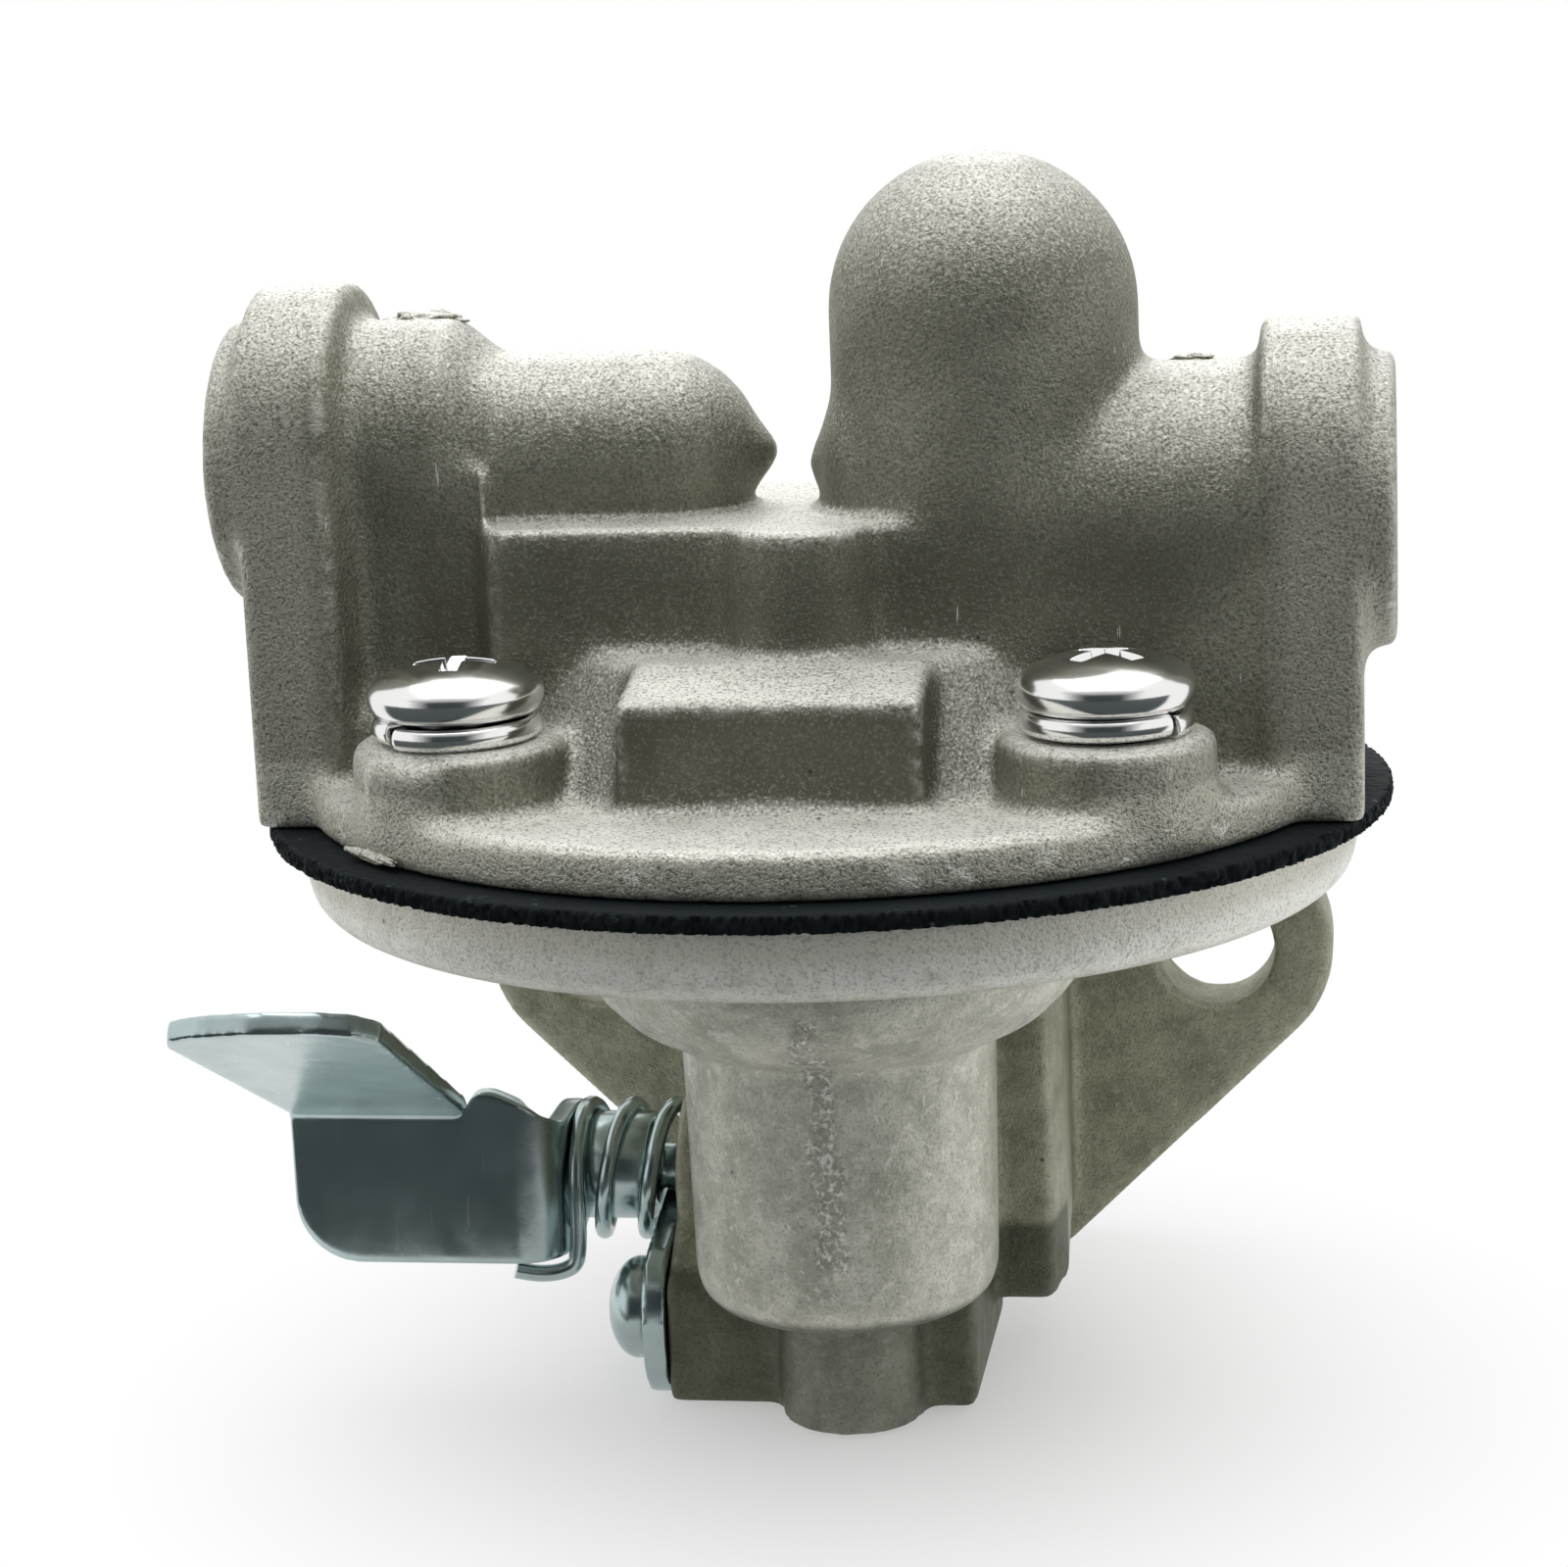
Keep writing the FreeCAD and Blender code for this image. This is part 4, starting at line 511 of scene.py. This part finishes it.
def set_back_collar(mesh):
    """Set the left collar's front behind its plate and the valve block, and curve the pillar under it."""
    places, normals = vertex_table(mesh)
    x, y, z = places.T
    left = -29.62 * MM
    right = -19.9 * MM
    low_end = np.clip((z - 27.6 * MM) / (3 * MM), 0, 1)
    right_end = np.clip((right - x) / (0.5 * MM), 0, 1)
    collar = (x > left) & (y < PORT_Y) & (z < 54 * MM)
    share = np.where(collar, low_end * right_end, 0)
    places[:, 1] += share * 0.22 * (PORT_Y - y)
    middle = -24.8 * MM
    aside = np.clip(np.abs(x - middle) / (5.2 * MM), 0, 1)
    high_end = np.clip((46 * MM - z) / (6 * MM), 0, 1)
    front = (normals[:, 1] < -0.6) & (y < -50 * MM)
    places[:, 1] += np.where(front, 1.6 * MM * aside**3 * share * high_end, 0)
    mesh.vertices.foreach_set("co", places.ravel())
    mesh.update()


def castings():
    """Both castings, the cover without the slot between its left collar and its valve block."""
    slot = ((-20.8, -56.4, 24), (-18.2, -44, 40.6))
    rounded_look("upper_cover", 0.38 * MM, 26, 0.5, 0.16, 0.48, set_back_collar, slot)
    rounded_look("lower_body", 0.42 * MM, 8, 0.5, 0.25, 0.5)


def scab(name, centre, radii, turn, seed):
    """A small ragged scrap of casting skin, with its centre and radii in millimetres."""
    shape = bmesh.new()
    bmesh.ops.create_icosphere(shape, subdivisions=4, radius=1.0)
    for vert in shape.verts:
        vert.co *= 1 + 0.35 * noise.noise(vert.co * 2.5 + Vector((seed, 0, 0)))
        vert.co = Vector([part * radius * MM for part, radius in zip(vert.co, radii)])
    mesh = smooth_mesh(name, shape)
    mesh.transform(Matrix.Translation(Vector(centre) * MM) @ Matrix.Rotation(turn, 4, "Z"))
    mesh.materials.append(MATERIALS["cast_cover"])
    piece = new_object(name, mesh)
    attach(piece, "housing")


def casting_scraps():
    """Scraps left by the mould on the collars and at the foot of the cover's rim."""
    collar_x = 25.4
    scrap_y = PORT_Y / MM + 1
    scab("left_collar_scrap", (-collar_x, scrap_y, 53.35), (2.6, 1.1, 0.7), 0.05, 1)
    scab("right_collar_scrap", (collar_x, scrap_y, 49.55), (1.4, 0.8, 0.35), -0.1, 5)
    angle = math.radians(224)
    rim_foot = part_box("upper_cover")[0].z / MM
    place = Vector(around(35.5, angle, rim_foot + 0.6)) + Vector((0, DIAPHRAGM_Y / MM, 0))
    scab("rim_scrap", place, (0.3, 3.2, 0.34), angle, 9)


# Screws and washers


def lathed(name, profile, segments=72):
    """Turn an outline of (radius, height) points about the Z axis, closed at both ends on the axis."""
    shape = bmesh.new()
    rings = []
    for radius, height in profile:
        if radius == 0:
            rings.append([shape.verts.new((0, 0, height))])
            continue
        angles = [2 * math.pi * step / segments for step in range(segments)]
        rings.append([shape.verts.new(around(radius, angle, height)) for angle in angles])
    for lower, upper in zip(rings, rings[1:]):
        for step in range(segments):
            following = (step + 1) % segments
            if len(lower) == 1:
                shape.faces.new((lower[0], upper[following], upper[step]))
            elif len(upper) == 1:
                shape.faces.new((lower[step], lower[following], upper[0]))
            else:
                shape.faces.new((lower[step], lower[following], upper[following], upper[step]))
    bmesh.ops.recalc_face_normals(shape, faces=shape.faces)
    return new_object(name, smooth_mesh(name, shape))


def pan_profile(radius, height, shank_radius, length):
    """Outline of a pan head screw from the shank's end to the top of the head."""
    points = [
        (0, -length),
        (shank_radius * 0.85, -length),
        (shank_radius, -length + 0.5 * MM),
        (shank_radius, -0.01 * MM),
    ]
    side = height * 0.36
    for step in range(5):
        angle = math.radians(18 * step)
        points.append((radius * (0.88 + 0.12 * math.sin(angle)), side - side * math.cos(angle)))
    for step in range(16):
        angle = math.radians(6 * step)
        points.append((radius * math.cos(angle), side + (height - side) * math.sin(angle)))
    points.append((0, height))
    return points


def recess(top, reach, width, depth):
    """Cutter for a cross recess: two tapered arms."""
    shape = bmesh.new()
    for along, across in ((reach, width), (width, reach)):
        taper = 0.5
        corners = []
        for share, height in ((taper, top - depth), (1.15, top + 0.6 * MM)):
            for sx, sy in ((-1, -1), (1, -1), (1, 1), (-1, 1)):
                corners.append(shape.verts.new((sx * along * share, sy * across * share, height)))
        for face in ((3, 2, 1, 0), (4, 5, 6, 7), (0, 1, 5, 4), (1, 2, 6, 5), (2, 3, 7, 6), (3, 0, 4, 7)):
            shape.faces.new([corners[index] for index in face])
    return new_object("recess", smooth_mesh("recess", shape))


def cross_cut(piece, top, reach, width, depth):
    """Cut the cross recess and break its edges a little."""
    away = piece.modifiers.new("cut", "BOOLEAN")
    away.operation = "DIFFERENCE"
    away.use_self = True
    cutter = recess(top, reach, width, depth)
    away.object = cutter
    break_edges(piece, 0.12 * MM, 40)
    applied(piece)
    bpy.data.objects.remove(cutter)
    make_smooth(piece.data)


def cover_screw(number, turn):
    """Chromed pan head screw with a worn cross recess."""
    name = f"cover_screw_{number}"
    low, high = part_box(name)
    radius = (high.x - low.x) / 2
    seat = high.z - PAN_HEIGHT
    piece = lathed(name + "_look", pan_profile(radius, PAN_HEIGHT, 3 * MM, seat - low.z))
    cross_cut(piece, PAN_HEIGHT, 2.9 * MM, 0.62 * MM, 2.0 * MM)
    middle = (low + high) / 2
    piece.data.transform(Matrix.Translation((middle.x, middle.y, seat)) @ Matrix.Rotation(turn, 4, "Z"))
    hand_over(piece, name)


def spring_washer(number, split_at):
    """Split washer whose ends stand a little apart in height."""
    name = f"spring_washer_{number}"
    low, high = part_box(name)
    outer = (high.x - low.x) / 2
    inner = 3.3 * MM
    thickness = high.z - low.z
    rise = 0.25 * MM
    corner = 0.5 * MM
    tall = thickness - rise
    section = [(inner, 0)]
    for step in range(9):
        angle = math.radians(22.5 * step - 90)
        section.append((outer - corner + corner * math.cos(angle), tall / 2 * (1 + math.sin(angle))))
    section.append((inner, tall))
    gap = math.radians(6.5)
    steps = 90
    shape = bmesh.new()
    rings = []
    for step in range(steps + 1):
        share = step / steps
        angle = split_at + gap / 2 + (2 * math.pi - gap) * share
        lift = rise * share
        rings.append([shape.verts.new(around(r, angle, z + lift)) for r, z in section])
    for before, after in zip(rings, rings[1:]):
        for index in range(len(section)):
            following = (index + 1) % len(section)
            shape.faces.new((before[index], before[following], after[following], after[index]))
    shape.faces.new(rings[0])
    shape.faces.new(list(reversed(rings[-1])))
    bmesh.ops.recalc_face_normals(shape, faces=shape.faces)
    mesh = smooth_mesh(name + "_look", shape)
    middle = (low + high) / 2
    mesh.transform(Matrix.Translation((middle.x, middle.y, low.z)))
    piece = new_object(name + "_look", mesh)
    break_edges(piece, 0.06 * MM, 30)
    applied(piece)
    make_smooth(piece.data)
    hand_over(piece, name)


def retainer_screw():
    """Small pan head screw that points to the right."""
    low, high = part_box("retainer_screw")
    radius = (high.z - low.z) / 2
    shank = high.x - low.x - PAN_HEIGHT
    piece = lathed("retainer_screw_look", pan_profile(radius, PAN_HEIGHT, 2.5 * MM, shank))
    cross_cut(piece, PAN_HEIGHT, 1.9 * MM, 0.45 * MM, 1.3 * MM)
    middle = (low + high) / 2
    place = Matrix.Translation((low.x + PAN_HEIGHT, middle.y, middle.z))
    piece.data.transform(place @ Matrix.Rotation(math.radians(-90), 4, "Y"))
    hand_over(piece, "retainer_screw")


def fasteners():
    """All screws and washers, each cross and each split turned its own way."""
    turns = ((0.1, -2.25), (0.9, -0.6), (0.5, 0.4), (1.2, 2.0))
    for number, (turn, split_at) in enumerate(turns, start=1):
        cover_screw(number, turn)
        spring_washer(number, split_at)
    retainer_screw()


# Diaphragm


def diaphragm():
    """Rubberised disc with a ragged cut edge."""
    low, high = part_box("diaphragm")
    radius = (high.x - low.x) / 2
    thickness = high.z - low.z
    middle = (low + high) / 2
    flat = (2.6 * MM, 20 * MM, 34 * MM, radius - 0.7 * MM)
    edge = ((-0.12, 0.03), (-0.02, 0.22), (0.0, 0.5), (-0.02, 0.78), (-0.12, 0.97))
    profile = [(reach, 0.0) for reach in flat]
    profile += [(radius + back * MM, share * thickness) for back, share in edge]
    profile += [(reach, thickness) for reach in reversed(flat)]
    segments = 1500
    shape = bmesh.new()
    rings = []
    for step in range(segments):
        angle = 2 * math.pi * step / segments
        ring = []
        for r, z in profile:
            if r > radius - 0.5 * MM:
                spot = Vector(around(75, angle, z * 1800))
                r -= 0.65 * MM * abs(noise.noise(spot) + 0.6 * noise.noise(spot * 2.3))
            ring.append(shape.verts.new(around(r, angle, z)))
        rings.append(ring)
    for step in range(segments):
        before = rings[step]
        after = rings[(step + 1) % segments]
        for index in range(len(profile)):
            following = (index + 1) % len(profile)
            shape.faces.new((before[index], after[index], after[following], before[following]))
    bmesh.ops.recalc_face_normals(shape, faces=shape.faces)
    mesh = smooth_mesh("diaphragm_look", shape)
    mesh.transform(Matrix.Translation((middle.x, middle.y, low.z)))
    hand_over(new_object("diaphragm_look", mesh), "diaphragm")


# Priming lever and its spring


def lift_plate(mesh):
    """Raise the plate's top edge between the thumb pad and the bend, and lower the ear's."""
    places = vertex_table(mesh)[0]
    x, y, z = places.T
    start = np.clip((x + 28.3 * MM) / (0.9 * MM), 0, 1)
    end = np.clip((-22.9 * MM - x) / (3.2 * MM), 0, 1)
    height = np.clip((z + 7.5 * MM) / (3 * MM), 0, 1)
    front = y < -36 * MM
    lift = np.where(front & (z < -4 * MM), 1.75 * MM * start * end**0.7 * height**2, 0)
    ear = np.clip((y + 37.4 * MM) / (1.9 * MM), 0, 1) * (x > -24 * MM)
    sink = 1.2 * MM * ear * np.clip((z + 7 * MM) / (2.8 * MM), 0, 1)
    places[:, 2] += lift - sink
    mesh.vertices.foreach_set("co", places.ravel())
    mesh.update()


def priming_spring():
    """Torsion spring round the shaft, from the hook under the lever to the casting, in millimetres."""
    sag = 0.25
    radius = 4.85
    pitch = 3.2
    left = -20.65
    under = -6.2
    plate = -6.2
    points = [
        (left - 4.5, plate, under + 0.1),
        (left - 3.1, plate + 0.4, under - 0.35),
        (left - 1.8, plate + 0.9, under - 0.45),
        (left - 0.6, plate + 1.1, under - 0.1),
        (left - 0.12, plate + 1.2, under + 0.5),
        (left, -radius, -3.6),
        (left, -radius, -2.0),
    ]
    for angle in range(0, 871, 30):
        swing = math.radians(angle)
        turn = max(angle - 90, 0) / 360
        lean = 0.3 * (math.sin(swing) - 1) * min(turn * 2, 1)
        x = left + pitch * turn + lean
        points.append((x, -radius * math.cos(swing), radius * math.sin(swing) - sag))
    y, z = points[-1][1:]
    points += [(-13.5, y + 0.15, z - 0.2), (-12.5, y + 0.05, z - 0.3)]
    line = bpy.data.curves.new("priming_spring_look", "CURVE")
    line.dimensions = "3D"
    line.bevel_depth = 0.62 * MM
    line.bevel_resolution = 5
    line.use_fill_caps = True
    line.resolution_u = 6
    spline = line.splines.new("NURBS")
    spline.points.add(len(points) - 1)
    for spot, point in zip(spline.points, points):
        spot.co = (*(PRIMING_AXIS + Vector(point) * MM), 1.0)
    spline.use_endpoint_u = True
    spline.order_u = 4
    hand_over(new_object("priming_spring_look", line), "priming_spring")


def priming_shaft():
    """Turned shaft with the thicker stretch that carries the spring."""
    rounded_look("priming_shaft", 0.16 * MM, 3, 0.5, 0.4)
    length = 5.6 * MM
    radius = 3.95 * MM
    corner = 0.25 * MM
    outline = [
        (0, 0),
        (radius - corner, 0),
        (radius, corner),
        (radius, length - corner),
        (radius - corner, length),
        (0, length),
    ]
    sleeve = lathed("priming_shaft_shoulder", outline)
    place = Matrix.Translation(PRIMING_AXIS + Vector((-21.15 * MM, 0, 0)))
    sleeve.data.transform(place @ Matrix.Rotation(math.radians(90), 4, "Y"))
    sleeve.data.materials.append(MATERIALS[SLOT_OF["priming_shaft"]])
    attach(sleeve, body_of["priming_shaft"])


def hand_priming():
    """The lever with its shaft and spring, and the plate that keeps them."""
    rounded_look("priming_lever", 0.17 * MM, 14, 0.5, 0.42, 1.0, lift_plate)
    rounded_look("retainer_plate", 0.2 * MM, 5, 0.5, 0.35)
    priming_spring()
    priming_shaft()


# Stage


def floor():
    """Pale floor just below the pump. It keeps the shadow and turns white away from the pump."""
    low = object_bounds()[0]
    mesh = bpy.data.meshes.new("floor")
    size = 3.0
    corners = [(-size, -size, 0), (size, -size, 0), (size, size, 0), (-size, size, 0)]
    mesh.from_pydata(corners, [], [(0, 1, 2, 3)])
    plane = new_object("floor", mesh)
    plane.location = (0, 0, low.z - 0.0001)
    shader = Shader("floor", Roughness=0.8)
    shader.finish(shader.mix(shader.noise(12, 2), (0.90, 0.90, 0.90), (0.93, 0.93, 0.93)))
    centre = shader.add("ShaderNodeMapping", Vector=shader.place)
    centre.inputs["Location"].default_value = (0, 0.035, 0)
    reach = shader.add("ShaderNodeVectorMath", Vector=centre.outputs["Vector"])
    reach.operation = "LENGTH"
    path = shader.add("ShaderNodeLightPath").outputs
    seen_white = shader.spread(reach.outputs["Value"], 0.008, 0.055, 0.4, 1.0)
    seen = shader.product(seen_white, path["Is Camera Ray"])
    mirrored_white = shader.spread(reach.outputs["Value"], 0.03, 0.06, 0.45, 1.0)
    other_rays = shader.math("MAXIMUM", path["Is Glossy Ray"], path["Is Transmission Ray"])
    mirrored = shader.product(mirrored_white, other_rays)
    glow = shader.add("ShaderNodeEmission", Color=(1, 1, 1, 1), Strength=1.0)
    shader.cover_part(shader.math("MAXIMUM", seen, mirrored), glow.outputs[0])
    mesh.materials.append(shader.material)
    plane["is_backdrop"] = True
    return plane.location.z


def flag(name, left, right, near, far):
    """Dark studio flag with soft ends, not seen itself. Its two edges are given by their Y and Z."""
    corners = [(left, *near), (right, *near), (right, *far), (left, *far)]
    mesh = bpy.data.meshes.new(name)
    mesh.from_pydata(corners, [], [(0, 1, 2, 3)])
    card = new_object(name, mesh)
    card.visible_camera = False
    card.visible_shadow = False
    card.visible_diffuse = False
    shader = Shader(name, Roughness=0.9)
    shader.finish(shader.mix(shader.noise(3, 2), (0.045, 0.055, 0.06), (0.07, 0.085, 0.09)))
    place = shader.split(shader.place)
    sides = shader.spread(shader.math("ABSOLUTE", place["X"]), 0.45, 1.3)
    top = shader.spread(place["Z"], 0.7, 1.2)
    clear = shader.add("ShaderNodeBsdfTransparent").outputs[0]
    shader.cover_part(shader.math("MAXIMUM", sides, top), clear)
    mesh.materials.append(shader.material)
    card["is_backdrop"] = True


def flags(level):
    """Flags on the camera's side: two upright far away and two flat ones in front of the pump."""
    level += 0.0005
    wide = 1.5
    front_end = -0.07
    flag("flag_far", -wide, wide, (-1.2, level), (-1.0, 0.8))
    flag("flag_above", -wide, wide, (-1.0, 0.8), (-0.55, 1.2))
    flag("flag_front", -wide, wide, (-1.2, level), (front_end, level))
    flag("flag_left", -0.5, -0.026, (front_end, level), (-0.059, level))


def area_light(name, place, target, size, power):
    """A white rectangular lamp that points at a target."""
    lamp = bpy.data.lights.new(name, "AREA")
    lamp.energy = power
    lamp.shape = "RECTANGLE"
    lamp.size, lamp.size_y = size
    holder = bpy.data.objects.new(name, lamp)
    holder.location = place
    aim = Vector(target) - Vector(place)
    holder.rotation_euler = aim.to_track_quat("-Z", "Y").to_euler()
    bpy.context.scene.collection.objects.link(holder)


def surround():
    """Even pale world, white where it is seen or mirrored."""
    world = bpy.data.worlds.new("surround")
    world.use_nodes = True
    bpy.context.scene.world = world
    tree = world.node_tree
    background = tree.nodes["Background"]
    path = tree.nodes.new("ShaderNodeLightPath").outputs
    seen = path["Is Camera Ray"]
    for name in ("Is Glossy Ray", "Is Transmission Ray"):
        larger = tree.nodes.new("ShaderNodeMath")
        larger.operation = "MAXIMUM"
        tree.links.new(seen, larger.inputs[0])
        tree.links.new(path[name], larger.inputs[1])
        seen = larger.outputs[0]
    colour = tree.nodes.new("ShaderNodeMix")
    colour.data_type = "RGBA"
    colour.inputs[6].default_value = (0.50, 0.50, 0.50, 1)
    colour.inputs[7].default_value = (1, 1, 1, 1)
    tree.links.new(seen, colour.inputs[0])
    tree.links.new(colour.outputs[2], background.inputs[0])


def camera():
    """Camera at the photograph's place, in front of the pump, a little right and above."""
    lens = bpy.data.cameras.new("camera")
    lens.sensor_width = 36
    lens.lens = 83.48
    eye = bpy.data.objects.new("camera", lens)
    right = Vector((0.98714, 0.15459, -0.04081))
    up = Vector((0.00757, 0.20973, 0.97775))
    back = Vector((0.1597, -0.9655, 0.2059))
    turn = Matrix((right, up, back)).transposed()
    eye.matrix_world = Matrix.Translation(Vector((36.57, -282.05, 72.11)) * MM) @ turn.to_4x4()
    bpy.context.scene.collection.objects.link(eye)
    bpy.context.scene.camera = eye


def main():
    """Build the whole scene."""
    bpy.context.scene.view_settings.view_transform = "Standard"
    camera()
    dress_nodes()
    castings()
    casting_scraps()
    fasteners()
    diaphragm()
    hand_priming()
    flags(floor())
    surround()
    area_light("top", (0, 0.02, 0.8), (0, -0.04, 0.01), (0.9, 0.9), 3.6)


main()
